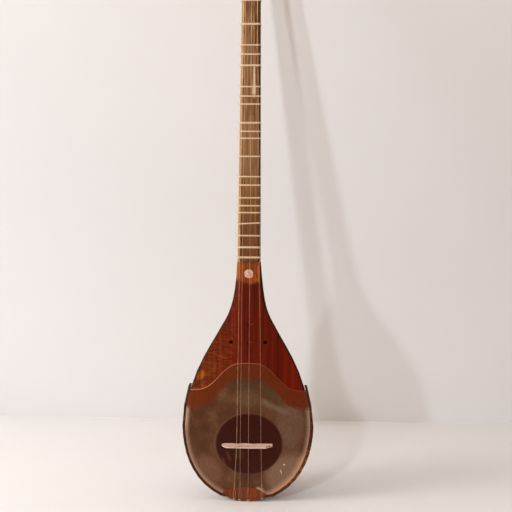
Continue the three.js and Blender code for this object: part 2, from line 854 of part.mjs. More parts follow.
// The loop round a pin: down on the right, under the pin and up on the left
function loopPoints(pin, y, radius) {
  const around = pinRadius + gap + radius;
  const topX = 2 * radius + gap;
  const endHeight = THREE.MathUtils.lerp(pin.y, loopHeight, loopTailShare);
  const points = [new THREE.Vector3(pin.x + topX, y, endHeight)];
  for (let i = 0; i <= loopSteps; i += 1) {
    const angle = -Math.PI * i / loopSteps;
    points.push(new THREE.Vector3(
      pin.x + around * Math.cos(angle), y, pin.y + around * Math.sin(angle),
    ));
  }
  points.push(new THREE.Vector3(pin.x, y, loopHeight));
  return points;
}

function addStrings() {
  const pins = pinPlaces();
  pegPlaces().forEach((peg, i) => {
    const radius = stringRadii[i];
    const tailY = tailPlateFront - gap - radius;
    const nutX = stringNutShares[i] * neckHalfWidthAtNut;
    const nutY = nutFront + nutNotchDepth - gap - radius;
    const bridgeX = stringBridgeShares[i] * bridgeLength / 2;
    const bridgeY = bridgeCrest + bridgeNotchDepth - bridgeStringGap - radius;
    const points = [
      ...loopPoints(pins[i], tailY, radius),
      new THREE.Vector3(bridgeX, bridgeY, bridgeHeight),
      new THREE.Vector3(nutX, nutY, nutHeight),
      new THREE.Vector3(nutX, nutY, headBottom + gap),
      stringEnd(peg, radius),
    ];
    addMesh(`string_${i + 1}`, tube(points, radius, stringSides), i === 0 ? 'bronze' : 'steel');
  });
}

addStaves();
addTailBlock();
addHeelBlock();
addSoundboard();
addInlay();
addBinding();
addSkin();
addBand();
addTailPlate();
addStringHolder();
addNeck();
addFingerboard();
addNut();
addFrets();
addBridge();
addPegs();
addStrings();

// The origin is the middle of the holder's underside
setar.position.y = -(tailPlateFront + holderDepth / 2);

export default setar;
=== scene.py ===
# %% [markdown]
# # Dressing a long-necked lute
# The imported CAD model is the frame: its bodies move with the joints and its nodes say where every
# piece is. This lesson gives each piece the shape and finish of the real one, from the soundboard
# to the gut of the frets. Lengths that come from the real instrument are written in millimetres
# and multiplied by MM, because Blender works in metres.

# %% Load the frame
import math

import bpy
import numpy as np
from mathutils import Matrix, Vector


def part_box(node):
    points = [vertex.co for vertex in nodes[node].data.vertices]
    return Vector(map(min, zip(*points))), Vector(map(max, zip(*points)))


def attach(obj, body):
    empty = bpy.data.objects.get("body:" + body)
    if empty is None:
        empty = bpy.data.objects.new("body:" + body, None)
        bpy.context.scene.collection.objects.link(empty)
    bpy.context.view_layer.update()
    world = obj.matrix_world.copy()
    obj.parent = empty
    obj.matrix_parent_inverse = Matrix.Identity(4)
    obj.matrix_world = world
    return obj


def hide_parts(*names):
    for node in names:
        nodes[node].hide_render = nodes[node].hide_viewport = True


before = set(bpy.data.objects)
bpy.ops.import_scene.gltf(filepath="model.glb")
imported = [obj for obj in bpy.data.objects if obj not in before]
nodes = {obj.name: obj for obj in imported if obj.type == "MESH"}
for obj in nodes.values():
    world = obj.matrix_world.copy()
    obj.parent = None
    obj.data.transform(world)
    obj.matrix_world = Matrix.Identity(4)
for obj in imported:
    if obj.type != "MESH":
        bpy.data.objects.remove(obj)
bpy.ops.object.select_all(action="DESELECT")
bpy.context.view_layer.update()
MM = 0.001

# %% [markdown]
# ## Camera
# The photograph was taken from a little to the right of the instrument, looking slightly down,
# with a lens that sees 29 degrees across. The camera could be placed by hand, but it is easier to
# give the point that the middle of the picture shows and to step back from it. The picture is
# rolled by half a degree, which one small turn about the line of sight gives.

# %% Camera
AIM = Vector((9, -4.9, 314.3)) * MM
DISTANCE = 1274.3 * MM
TURN_RIGHT, LOOK_DOWN, ROLL = (math.radians(angle) for angle in (2.5, 1.5, 0.53))
FILM_WIDTH = 36
LENS_AWAY, PICTURE_WIDTH = 1000, 512  # in pixels of the photograph
sight = (
    Matrix.Rotation(TURN_RIGHT, 4, "Z")
    @ Matrix.Rotation(math.pi / 2 - LOOK_DOWN, 4, "X")
    @ Matrix.Rotation(ROLL, 4, "Z")
)
bpy.ops.object.camera_add()
camera = bpy.context.object
camera.matrix_world = Matrix.Translation(AIM + sight.to_3x3() @ Vector((0, 0, DISTANCE))) @ sight
camera.data.sensor_width = FILM_WIDTH
camera.data.lens = FILM_WIDTH * LENS_AWAY / PICTURE_WIDTH
camera.data.clip_start = 0.05
bpy.context.scene.camera = camera
print("camera at", [round(x, 3) for x in camera.matrix_world.translation])

# %% [markdown]
# ## Colours and nodes
# Every colour is written as the sRGB hex value that a picture program shows, and one function
# turns it into the linear numbers that Blender mixes. One more function adds a shader node, sets
# what is asked, links its inputs and hands back one output, so that a material reads as a recipe.
# Inputs go by name or number. On a Map Range node, 1 and 2 are the range of what comes in, and 3
# and 4 are what it becomes.

# %% Helpers for materials
def colour(code):
    """The linear colour of an sRGB hex value such as "7a2c10"."""
    parts = [int(code[i : i + 2], 16) / 255 for i in (0, 2, 4)]
    linear = [x / 12.92 if x <= 0.04045 else ((x + 0.055) / 1.055) ** 2.4 for x in parts]
    return (*linear, 1.0)


def add(material, kind, inputs=None, out=0, stops=None, **settings):
    """Adds a node and returns an output. Inputs are values or sockets, and stops are a ramp's."""
    tree = material.node_tree
    node = tree.nodes.new("ShaderNode" + kind)
    for name, value in settings.items():
        setattr(node, name, value)
    for number, (position, code) in enumerate(stops or []):
        ramp = node.color_ramp.elements
        stop = ramp[number] if number < 2 else ramp.new(position)
        stop.position, stop.color = position, colour(code)
    for name, value in (inputs or {}).items():
        if isinstance(value, bpy.types.NodeSocket):
            tree.links.new(value, node.inputs[name])
        else:
            node.inputs[name].default_value = value
    return node.outputs[out]


def start_material(name, **sockets):
    """A new material and its shader, with the given values on the shader's own sockets."""
    material = bpy.data.materials.new(name)
    material.use_nodes = True
    shader = material.node_tree.nodes["Principled BSDF"]
    for socket, value in sockets.items():
        shader.inputs[socket.replace("_", " ")].default_value = value
    return material, shader


def connect(material, shader, **sources):
    """Links outputs to the shader's sockets, in place of what was linked before."""
    for socket, source in sources.items():
        material.node_tree.links.new(source, shader.inputs[socket.replace("_", " ")])


# A Mix node has its own sockets for each kind of value, and these are the ones for colours
FACTOR, FIRST, SECOND, BLENDED = 0, 6, 7, 2
LAYER = {"out": BLENDED, "data_type": "RGBA"}
GLAZE = {"blend_type": "MULTIPLY", **LAYER}

# %% [markdown]
# ## Stage
# The instrument stands on a pale floor in front of a pale wall. The photographed one leans
# against its wall, so its shadow comes nearer to it towards the top. Here the instrument is
# upright and the wall leans towards it instead, which draws the same shadow. The wall's material
# is see-through from behind, so that it hides nothing when the camera goes round.

# %% Stage
STAGE_SIZE = 9  # metres along each edge of floor and wall
FLOOR_FRONT = 450 * MM  # how far the floor comes forward, to an edge that is out of the picture
WALL_FOOT = 547 * MM
WALL_LEAN = math.atan2(517, 850)  # at a height of 850 mm it is 30 mm behind the instrument


def pale_paint(name, light, dark, patch_mm):
    """Matt paint, rolled on: it has no shine, and faint broad patches."""
    material, shader = start_material(name, Roughness=0.85)
    where = add(material, "TexCoord", out="Object")
    noise = {"Vector": where, "Scale": 1 / (patch_mm * MM), "Detail": 3.0}
    patches = add(material, "TexNoise", noise)
    tone = add(material, "ValToRGB", {"Fac": patches}, stops=[(0.35, dark), (0.65, light)])
    connect(material, shader, Base_Color=tone)
    return material, shader


bpy.ops.mesh.primitive_plane_add(size=STAGE_SIZE, location=(0, STAGE_SIZE / 2 - FLOOR_FRONT, 0))
bpy.ops.object.transform_apply(location=True, rotation=False, scale=False)
floor = bpy.context.object
floor.name = "floor"
floor.data.materials.append(pale_paint("painted_floor", "f1eeed", "edebea", 400)[0])

bpy.ops.mesh.primitive_plane_add(size=STAGE_SIZE)
wall = bpy.context.object
wall.name = "wall"
wall.rotation_euler = (math.pi / 2 + WALL_LEAN, 0, 0)
rise = Vector((0, -math.sin(WALL_LEAN), math.cos(WALL_LEAN))) * STAGE_SIZE / 2
wall.location = Vector((0, WALL_FOOT, 0)) + rise
bpy.ops.object.transform_apply(location=True, rotation=True, scale=True)
wall_paint, wall_shader = pale_paint("wall_paint", "ece8e6", "e9e5e3", 500)
behind = add(wall_paint, "NewGeometry", out="Backfacing")
clear = add(wall_paint, "BsdfTransparent")
surface = add(wall_paint, "MixShader", {0: behind, 1: wall_shader.outputs[0], 2: clear})
output = wall_paint.node_tree.nodes["Material Output"]
wall_paint.node_tree.links.new(surface, output.inputs["Surface"])
wall.data.materials.append(wall_paint)
print("the wall leans by", round(math.degrees(WALL_LEAN)), "degrees")

# %% [markdown]
# ## Light
# Two small lamps in front of the instrument and to its left draw its two shadows on the wall: one
# from above the head and one from low down. A broad window on the left makes the picture brighter
# on that side, and the world fills the rest with warm light. The room in front, which the flat
# varnished face would mirror, is dark, so the face keeps its deep red.

# %% Light
LAMPS = [  # name, place and target in metres, width, watts and tint
    ("high", (-0.54, -2.3, 1.07), (0, 0, 0.3), 0.11, 19, "eef6ff"),
    ("low", (-0.84, -2.3, 0.32), (0, 0, 0.3), 0.11, 13, "e4f2ff"),
    ("window", (-1.9, -0.9, 1.1), (0, 0.3, 0.3), 1.2, 25, "f6fcff"),
]
for name, at, target, width, watts, tint in LAMPS:
    light = bpy.data.lights.new(name, "AREA")
    light.shape, light.size, light.energy, light.color = "DISK", width, watts, colour(tint)[:3]
    lamp = bpy.data.objects.new(name, light)
    bpy.context.scene.collection.objects.link(lamp)
    lamp.location = at
    lamp.rotation_euler = (Vector(target) - Vector(at)).to_track_quat("-Z", "Y").to_euler()
world = bpy.data.worlds.new("room")
bpy.context.scene.world = world
world.use_nodes = True
toward = add(world, "TexCoord", out="Generated")  # in a world this is the direction
ahead = add(world, "SeparateXYZ", {0: toward}, out="Y")
sideways = add(world, "SeparateXYZ", {0: toward}, out="X")
darker_ahead = add(world, "MapRange", {0: ahead, 1: -0.95, 2: -0.6, 3: 0.1, 4: 1.0})
darker_right = add(world, "MapRange", {0: sideways, 1: -0.8, 2: 0.9, 3: 1.1, 4: 0.3})
strength = add(world, "Math", {0: darker_ahead, 1: darker_right}, operation="MULTIPLY")
background = world.node_tree.nodes["Background"]
background.inputs["Color"].default_value = colour("ffe1c0")
world.node_tree.links.new(strength, background.inputs["Strength"])
bpy.context.scene.view_settings.view_transform = "Standard"
print("lamps:", len(LAMPS))

# %% [markdown]
# ## Wood
# Wood is drawn by stretched noise: broad bands across the grain, fine fibres that run with it and
# short dark pores. A photograph of a board could be wrapped round instead, but drawn grain stays
# sharp from near and runs the right way in every piece. All sizes are real ones across the grain:
# bands of a few millimetres, fibres of about half a millimetre and pores of a quarter.

# %% The wood recipe
FIBRE_SHARE = 0.42  # of the grain, and the bands make the rest


def wood(
    name, stops, band, fibre, length, rough, gloss=0.2, relief=0.04, flat=None, shift=0.0
):
    """Wood with its grain along Z, or along V of the UV map named by flat, which is in metres.

    In millimetres: band and fibre across the grain, length along it, and relief as its depth.
    The stops are its colours from dark to light, and shift moves the pattern.
    """
    material, shader = start_material(name, Specular_IOR_Level=gloss)
    where = add(material, "UVMap", uv_map=flat) if flat else add(material, "TexCoord", out="Object")
    layers = []
    # The size across, the size along and the detail of the bands, the fibres and the pores
    kinds = ((band, length * 2.5, 3.0), (fibre, length, 4.0), (fibre / 2.4, fibre * 9, 2.0))
    for across, along, detail in kinds:
        sizes = (across, along, across) if flat else (across, across, along)
        scale = [1 / (size * MM) for size in sizes]
        stretch = {"Vector": where, "Location": (shift, shift, shift), "Scale": scale}
        layers.append(add(material, "TexNoise", {
            "Vector": add(material, "Mapping", stretch), "Scale": 1.0, "Detail": detail,
            "Distortion": 0.25,
        }))
    bands, fibres, pores = layers
    mixed = add(material, "Mix", {0: FIBRE_SHARE, 2: bands, 3: fibres})
    tone = add(material, "ValToRGB", {"Fac": mixed}, stops=stops)
    pits = add(material, "MapRange", {0: pores, 1: 0.30, 2: 0.40, 3: 0.6, 4: 1.0})
    tone = add(material, "Mix", {FACTOR: 1.0, FIRST: tone, SECOND: pits}, **GLAZE)
    polish = {1: 0.3, 2: 0.7, 3: rough - 0.06, 4: rough + 0.08}
    uneven = add(material, "MapRange", {0: fibres, **polish})
    raised = add(material, "Math", {0: fibres, 1: pits}, operation="MULTIPLY")
    bump = add(material, "Bump", {"Height": raised, "Strength": 0.5, "Distance": relief * MM})
    connect(material, shader, Base_Color=tone, Roughness=uneven, Normal=bump)
    return material, shader, tone


# %% [markdown]
# ## Worn places and painted light
# Some marks have one place on the real instrument: a scratch, a worn corner. Others are painted
# light and shade that falls in one place: a highlight, or the shade of a step. Each is an ellipse
# on the face, and noise is added to the distance from its middle, so that its border is as uneven
# as a real one. A list of marks is then mixed in, one by one.

# %% Placed patches
RAGGED = 1.2  # how far noise moves a mark's border, as a share of the mark


def patch(material, where, x, z, wide, tall, tilt=0, noise=None, soft=0.35):
    """1 inside an ellipse on the face, given in millimetres and degrees, and 0 outside it."""
    spot = add(material, "Mapping", {
        "Vector": where, "Location": Vector((x, 0, z)) * MM, "Scale": (wide * MM, 1, tall * MM),
        "Rotation": (0, math.radians(-tilt), 0),
    }, vector_type="TEXTURE")
    away = add(material, "VectorMath", {0: spot}, out="Value", operation="LENGTH")
    middle = 1
    if noise:
        away = add(material, "Math", {0: noise, 1: RAGGED, 2: away}, operation="MULTIPLY_ADD")
        middle = 1 + RAGGED / 2
    border = {0: away, 1: middle + soft, 2: middle - soft}
    return add(material, "MapRange", border, interpolation_type="SMOOTHSTEP")


def mark(material, where, tone, marks, noise=None):
    """Mixes marks over a tone. Each is (x, z, wide, tall, tilt, colour, strength)."""
    for x, z, wide, tall, tilt, code, share in marks:
        inside = patch(material, where, x, z, wide, tall, tilt, noise)
        much = add(material, "Math", {0: inside, 1: share}, operation="MULTIPLY")
        tone = add(material, "Mix", {FACTOR: much, FIRST: tone, SECOND: colour(code)}, **LAYER)
    return tone


# %% [markdown]
# ## Pieces that keep their CAD shape
# Many pieces already have the right form, but their CAD meshes are loose triangles with knife
# edges. A copy is joined up, its triangles are paired into quads where that helps, and its edges
# are broken by a small bevel, as sandpaper does. The CAD node then hides behind the copy.

# %% Copying and placing
def select_only(piece):
    """Selects one piece, because an operator acts on all that is selected."""
    bpy.ops.object.select_all(action="DESELECT")
    piece.select_set(True)
    bpy.context.view_layer.objects.active = piece


def new_piece(name, data):
    """Puts an object with this mesh or curve in the scene, selected on its own."""
    piece = bpy.data.objects.new(name, data)
    bpy.context.scene.collection.objects.link(piece)
    select_only(piece)
    return piece


def take_copy(node, pair=False):
    """A new piece with a CAD node's mesh, joined up, and with pair also made quads."""
    piece = new_piece(node + "_piece", nodes[node].data.copy())
    piece.data.materials.clear()
    bpy.ops.object.mode_set(mode="EDIT")
    bpy.ops.mesh.select_all(action="SELECT")
    bpy.ops.mesh.remove_doubles(threshold=0.002 * MM)
    if pair:
        bpy.ops.mesh.tris_convert_to_quads(
            face_threshold=math.radians(40), shape_threshold=math.radians(60)
        )
    bpy.ops.object.mode_set(mode="OBJECT")
    return piece


def apply_modifier(piece, kind, **settings):
    """Adds a modifier with these settings and applies it."""
    bpy.context.view_layer.objects.active = piece
    modifier = piece.modifiers.new(kind.lower(), kind)
    for name, value in settings.items():
        setattr(modifier, name, value)
    bpy.ops.object.modifier_apply(modifier=modifier.name)


def swell(piece, amount_mm):
    """Grows a piece on all sides, to close the gap that its CAD solid keeps to its neighbours."""
    select_only(piece)
    bpy.ops.object.mode_set(mode="EDIT")
    bpy.ops.mesh.select_all(action="SELECT")
    bpy.ops.mesh.normals_make_consistent(inside=False)
    bpy.ops.transform.shrink_fatten(value=amount_mm * MM)
    bpy.ops.object.mode_set(mode="OBJECT")


def soften(piece, width_mm, angle=30, segments=2):
    """Breaks the edges with a narrow bevel and shades them smooth, with the flats kept flat."""
    limit = math.radians(angle)
    apply_modifier(
        piece, "BEVEL", width=width_mm * MM, segments=segments, limit_method="ANGLE",
        angle_limit=limit,
    )
    select_only(piece)
    bpy.ops.object.shade_smooth_by_angle(angle=limit)
    apply_modifier(piece, "WEIGHTED_NORMAL", keep_sharp=True, weight=100)


def place(piece, material, body="body", instead_of=None):
    """Gives a piece its material, its CAD body and the node that it stands for."""
    if not piece.data.materials:
        piece.data.materials.append(material)
    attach(piece, body)
    if instead_of:
        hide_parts(instead_of)


def dress(node, material, width_mm, angle=30, pair=False, body="body"):
    """Copies a CAD node, softens the edges of the copy and puts it in the node's place."""
    piece = take_copy(node, pair)
    soften(piece, width_mm, angle)
    place(piece, material, body, instead_of=node)
    print(node, "faces:", len(piece.data.polygons))


# %% [markdown]
# ## Following the photographed outline
# The photographed bowl is fuller beside its tail than the CAD outline, by up to four millimetres,
# and its right side shows more of the dark edge. The pieces that meet there are moved by one rule,
# so that they stay closed: points near the edge go outward from the middle of the face, most of
# all between the tail plate and the lower flanks, and less and less towards the back.

# %% Outline
FACE_CENTRE = (0, 75)  # X and Z in millimetres, from which the edge is pushed outward
PUSH_DEGREES, PUSH_SHARES = (8, 26, 50, 92), (0, 0.062, 0.05, 0)  # by the angle from straight down
PUSH_DEPTHS = (5, 65)  # full up to the first, nothing past the second
FACE_RADIUS = 72
LEFT_SHARE = 0.25  # of the flare: the photograph shows less of the left edge


def round_out(piece):
    """Moves the points beside the tail end outward, to where the photographed outline is."""
    points = np.array([v.co for v in piece.data.vertices]) / MM
    from_middle = points[:, [0, 2]] - FACE_CENTRE
    degrees = np.degrees(np.arctan2(abs(from_middle[:, 0]), -from_middle[:, 1]))
    share = np.interp(degrees, PUSH_DEGREES, PUSH_SHARES)
    share *= np.interp(points[:, 1], PUSH_DEPTHS, (1, 0))
    share *= np.clip(np.hypot(*from_middle.T) / FACE_RADIUS, 0, 1) ** 3
    points[:, [0, 2]] += from_middle * share[:, None]
    piece.data.vertices.foreach_set("co", (points * MM).ravel())
    piece.data.update()


def flare(piece, heights_mm, right_mm):
    """Moves the outer points of an edge piece sideways, by an amount for each height."""
    for point in piece.data.vertices:
        side = math.copysign(1, point.co.x)
        if point.normal.x * side > 0.2:
            wider = np.interp(point.co.z / MM, heights_mm, right_mm)
            point.co.x += side * (1 if side > 0 else LEFT_SHARE) * wider * MM
    piece.data.update()


# %% [markdown]
# ## The bowl
# The back of the bowl is nine mulberry ribs, bent and glued edge to edge over the blocks. Each is
# a thin curved strip, so its CAD copy gets creased edges and a subdivision surface, which rounds it
# lengthwise without losing the seam. The grain has to run along a bent strip, and a pattern on
# plain coordinates would cut straight through it. So each rib gets a flat map of its own: across
# the rib, and along it by the length of its middle line. The ribs were scraped smooth and then
# varnished, so dark grain shows under a clear shine, with other streaks in each rib.

# %% Ribs
RIB_TONES = ["5a2410", "6b2c12", "612610"]
SEAM_ANGLE, SEAM_CREASE = math.radians(40), 0.93
PATTERN_STEP = 7.3  # from rib to rib, so that no two have the same grain
LEVELS, LEVEL_REACH = 60, 5 * MM  # where the middle line is measured


def lay_flat(piece, index, count):
    """A UV map in metres: U across the rib, V along it from the tail end."""
    mesh = piece.data
    points = np.array([v.co for v in mesh.vertices])
    angle = math.pi * (index + 0.5) / count
    across = points[:, 0] * math.sin(angle) - points[:, 1] * math.cos(angle)
    radius = np.hypot(points[:, 0], points[:, 1])
    levels = np.linspace(points[:, 2].min(), points[:, 2].max(), LEVELS)
    spans = [radius[abs(points[:, 2] - level) < LEVEL_REACH] for level in levels]
    middle = np.array([span.mean() if len(span) else np.nan for span in spans])
    middle = np.interp(levels, levels[~np.isnan(middle)], middle[~np.isnan(middle)])
    length = np.concatenate([[0], np.cumsum(np.hypot(np.diff(levels), np.diff(middle)))])
    along = np.interp(points[:, 2], levels, length)
    layer = mesh.uv_layers.new(name="along_rib")
    for loop in mesh.loops:
        layer.data[loop.index].uv = (across[loop.vertex_index], along[loop.vertex_index])


rib_count = sum(name.startswith("rib_") for name in nodes)
for index in range(rib_count):
    node = f"rib_{index + 1}"
    rib = take_copy(node, pair=True)
    bpy.ops.object.mode_set(mode="EDIT")
    bpy.ops.mesh.select_all(action="DESELECT")
    bpy.ops.mesh.edges_select_sharp(sharpness=SEAM_ANGLE)
    bpy.ops.transform.edge_crease(value=SEAM_CREASE)
    bpy.ops.object.mode_set(mode="OBJECT")
    apply_modifier(rib, "SUBSURF", levels=2, render_levels=2)
    round_out(rib)
    lay_flat(rib, index, rib_count)
    grain = [(0.28, "2c0d05"), (0.45, RIB_TONES[index % 3]), (0.58, "78371a"), (0.75, "8f4a24")]
    mulberry = wood(
        f"varnished_mulberry_{index + 1}", grain, band=4.0, fibre=0.8, length=70, rough=0.26,
        gloss=0.5, flat="along_rib", shift=index * PATTERN_STEP,
    )[0]
    place(rib, mulberry, instead_of=node)
    select_only(rib)
    bpy.ops.object.shade_smooth_by_angle(angle=math.radians(35))
print("ribs:", rib_count, "faces each:", len(rib.data.polygons))

# %% [markdown]
# ## Blocks inside the bowl
# A tail block and a heel block of bare poplar hold the ends of the ribs. Only the plug of the tail
# block shows, at the bottom of the bowl, so plain sawn wood is enough: it is dull, and its long
# fibres stand for the marks of the saw.

# %% Blocks
poplar_grain = [(0.3, "8a5f38"), (0.5, "b98a5a"), (0.7, "cda574")]
sawn = wood("sawn_poplar", poplar_grain, band=6, fibre=1.0, length=40, rough=0.6)[0]
for node in ("tail_block", "heel_block"):
    dress(node, sawn, 0.4, pair=True)

# %% [markdown]
# ## The soundboard
# The face is a thin mulberry board under a red-brown varnish, rubbed to a sharp gloss, so that it
# mirrors the dark room and not a haze of the lamps. The grain only makes the varnish lighter and
# darker. Its colour comes from the place: browner and more orange on the left, partly the board's
# own colour and partly painted light from the left, and deep red in the middle and on the right.
# Flame figure crosses the grain on that lit left side, partly figure and partly painted highlight.

# %% Colour of the soundboard
board_grain = [(0.26, "6e6464"), (0.42, "b0a6a6"), (0.55, "dcd4d4"), (0.74, "ffffff")]
board_wood, board_shader, grain = wood(
    "varnished_board", board_grain, band=7.0, fibre=0.9, length=90, rough=0.17, gloss=0.25,
    relief=0.02,
)
where = add(board_wood, "TexCoord", out="Object")
axes = {axis: add(board_wood, "SeparateXYZ", {0: where}, out=axis) for axis in "XZ"}
wander = add(board_wood, "TexNoise", {
    "Vector": where, "Scale": 1 / (14 * MM), "Detail": 4.0, "Roughness": 0.6,
})
sway = add(board_wood, "Math", {0: wander, 1: 30 * MM, 2: axes["X"]}, operation="MULTIPLY_ADD")
side = add(board_wood, "MapRange", {0: sway, 1: -50 * MM, 2: 65 * MM})
# partly painted light: browner and more orange on the left, where the light falls, over the board's
# own red
SIDE_TONES = [(0.0, "743414"), (0.3, "7c2b0e"), (0.5, "801f08"), (0.62, "701e07"), (1.0, "7a1f06")]
tone = add(board_wood, "ValToRGB", {"Fac": side}, stops=SIDE_TONES)
stretch = {"Vector": where, "Scale": (1 / (13 * MM), 1, 1 / (3.6 * MM))}
flame = add(board_wood, "TexNoise", {
    "Vector": add(board_wood, "Mapping", stretch), "Scale": 1.0, "Detail": 3.0, "Distortion": 0.8,
})
figure = add(board_wood, "MapRange", {0: flame, 1: 0.48, 2: 0.66, 3: 0.0, 4: 0.6})
# the flame figure is painted only on the left side, where it is partly painted highlight
lit_left_side = add(board_wood, "MapRange", {0: sway, 1: 12 * MM, 2: -18 * MM})
figured = add(board_wood, "Math", {0: figure, 1: lit_left_side}, operation="MULTIPLY")
tone = add(board_wood, "Mix", {FACTOR: figured, FIRST: tone, SECOND: colour("a8571c")}, **LAYER)

# %% [markdown]
# The tongue of the neck is let in at the top, and its lower end is round. It shows bright orange
# through a thinner coat. Last come the marks of wear.

# %% Tongue and marks
TONGUE_END, TONGUE_BOW = 280 * MM, -30.0
bow = add(board_wood, "Math", {0: axes["X"], 1: axes["X"]}, operation="MULTIPLY")
border = add(board_wood, "Math", {0: bow, 1: TONGUE_BOW, 2: axes["Z"]}, operation="MULTIPLY_ADD")
border = add(board_wood, "Math", {0: wander, 1: 8 * MM, 2: border}, operation="MULTIPLY_ADD")
fade = {1: TONGUE_END, 2: TONGUE_END + 6 * MM}
tongue = add(board_wood, "MapRange", {0: border, **fade}, interpolation_type="SMOOTHSTEP")
THIN_TONES = [(0.36, "9c4e22"), (0.5, "bc5a1c"), (0.62, "d86c20")]
thin_coat = add(board_wood, "ValToRGB", {"Fac": wander}, stops=THIN_TONES)
tone = add(board_wood, "Mix", {FACTOR: tongue, FIRST: tone, SECOND: thin_coat}, **LAYER)
BOARD_MARKS = [
    (0, 308, 8, 9, 0, "98602c", 0.7),  # brown of the fingerboard's end
    (-60.5, 161, 4.2, 7, -35, "c8701c", 0.7),  # an orange spot and a broad orange-brown patch beside the bell
    (-48, 172, 12, 10, 0, "904418", 0.3),
    (11.2, 289, 0.5, 5, 4, "54200c", 0.8),  # strokes beside the disc
    (12.4, 286, 0.6, 6, 4, "c87a34", 0.7),
    (4.2, 227, 2.6, 0.5, 35, "a85a40", 0.7),  # scratches beside the small holes
    (3.6, 204, 1.8, 0.5, 30, "a85a40", 0.7),
]
tone = mark(board_wood, where, tone, BOARD_MARKS, noise=wander)
tone = add(board_wood, "Mix", {FACTOR: 1.0, FIRST: grain, SECOND: tone}, **GLAZE)
connect(board_wood, board_shader, Base_Color=tone)
board = take_copy("soundboard")
round_out(board)
soften(board, 0.25)
place(board, board_wood, instead_of="soundboard")
print("soundboard faces:", len(board.data.polygons))

# %% [markdown]
# ## The edge of the face
# A strip of dark wood is let in round the board. It shows as a thin dark line along the throat of
# the instrument. Stained wood is nearly black, and towards the left it is painted brown, as painted
# light from that side, with a painted highlight on the left shoulder.

# %% Edge strip
edge_grain = [(0.3, "1c0a04"), (0.6, "341409"), (0.8, "4a200f")]
edge_wood, edge_shader, tone = wood(
    "dark_edge_wood", edge_grain, band=2.0, fibre=0.5, length=30, rough=0.3, gloss=0.06
)
where = add(edge_wood, "TexCoord", out="Object")
across = add(edge_wood, "SeparateXYZ", {0: where}, out="X")
# painted light: the strip turns brown towards the left, where the light falls
lighter_share = add(edge_wood, "MapRange", {0: across, 1: 5 * MM, 2: -12 * MM, 3: 0.0, 4: 0.7})
tone = add(edge_wood, "Mix", {FACTOR: lighter_share, FIRST: tone, SECOND: colour("5a2c14")}, **LAYER)
# painted highlight on the left shoulder of the throat
lit_shoulder = (-13.5, 297, 3, 15, 0, "b87a50", 0.85)
tone = mark(edge_wood, where, tone, [lit_shoulder])
connect(edge_wood, edge_shader, Base_Color=tone)
binding = take_copy("edge_binding")
swell(binding, 0.2)
round_out(binding)
flare(binding, (225, 250, 280, 298, 310), (0, 0.8, 1.8, 0.9, 0.1))
soften(binding, 0.15)
place(binding, edge_wood, instead_of="edge_binding")
print("edge strip faces:", len(binding.data.polygons))

# %% [markdown]
# ## The skin
# The lower face is a sheet of thin skin, glued down wet and turned over the edge, so that it
# dries as tight as a drum. Its upper edge is cut to a bell, flatter on top and at its skirts than
# the CAD one, so the copy's edge is moved there. Its one flat front face is then extruded inward
# ring by ring, which gives the shader points to hold two measured lengths: how far a place is
# from the outer edge, where the skin is paler, and how far it is below the bell, where the
# varnish of the board runs over it.

# %% Skin
BELL_SIDE, BELL_RISE, BELL_HALF_WIDTH = 143, 34.6, 74  # in millimetres
RINGS, RING_CENTRE = 20, Vector((0, -5.7, 85)) * MM


def select_faces(piece, test):
    """Leaves the piece in edit mode with only the faces that pass the test selected."""
    select_only(piece)
    bpy.ops.object.mode_set(mode="EDIT")
    bpy.ops.mesh.select_mode(type="FACE")
    bpy.ops.mesh.select_all(action="DESELECT")
    bpy.ops.object.mode_set(mode="OBJECT")
    for face in piece.data.polygons:
        face.select = test(face)
    bpy.ops.object.mode_set(mode="EDIT")


def bell_height(x):
    """Height of the skin's upper edge at x, both in millimetres: flat on top and at its skirts."""
    share = (1 + np.cos(np.pi * np.clip(x / BELL_HALF_WIDTH, -1, 1))) / 2
    return BELL_SIDE + BELL_RISE * share**2 * (3 - 2 * share)


skin = take_copy("skin")
round_out(skin)
for back in (1, -1):  # the back, then the front, which stays selected
    select_faces(skin, lambda face: face.normal.y * back > 0.99)
    bpy.ops.mesh.dissolve_faces()
    bpy.ops.object.mode_set(mode="OBJECT")
for point in skin.data.vertices:
    if point.co.z / MM > BELL_SIDE - 0.5:
        point.co.z = bell_height(point.co.x / MM) * MM
bpy.ops.object.mode_set(mode="EDIT")
for ring in range(RINGS):
    shrink = 1 - 1 / (RINGS + 1 - ring)
    bpy.ops.mesh.extrude_region_move(TRANSFORM_OT_translate={"value": (0, 0, 0)})
    bpy.ops.transform.resize(value=(shrink, 1, shrink), center_override=RING_CENTRE)
bpy.ops.mesh.merge(type="CENTER")
bpy.ops.mesh.select_all(action="SELECT")
bpy.ops.mesh.normals_make_consistent(inside=False)
bpy.ops.mesh.select_mode(type="VERT")
bpy.ops.object.mode_set(mode="OBJECT")
soften(skin, 0.15, angle=50)

# %% Lengths measured on the skin
points = np.array([v.co for v in skin.data.vertices]) / MM
turned_down = (points[:, 1] > 2) & (points[:, 2] < BELL_SIDE)  # 2 mm behind the face
edge = points[turned_down][:, [0, 2]]
edge = edge[np.argsort(np.arctan2(edge[:, 0], 96 - edge[:, 1]))]  # in order, round the middle
steps = np.linspace(0, 1, 8)[:, None, None]  # more points between those of the edge
dense = (edge[:-1] + (edge[1:] - edge[:-1]) * steps).reshape(-1, 2)
from_rim = [np.hypot(*(dense - point).T).min() for point in points[:, [0, 2]]]
below_bell = bell_height(points[:, 0]) - points[:, 2]
for name, values in (("below_bell", below_bell), ("from_rim", from_rim)):
    layer = skin.data.attributes.new(name, "FLOAT", "POINT")
    layer.data.foreach_set("value", np.array(values, dtype=np.float32))
print("skin points:", len(points), "points on its edge:", len(dense))

# %% [markdown]
# The finish is built up as the maker and the years did it. First comes the mottled skin itself,
# which was scraped thin: it has patches of 3 to 22 millimetres, paler and greyer places, streaks
# and a few worn spots.

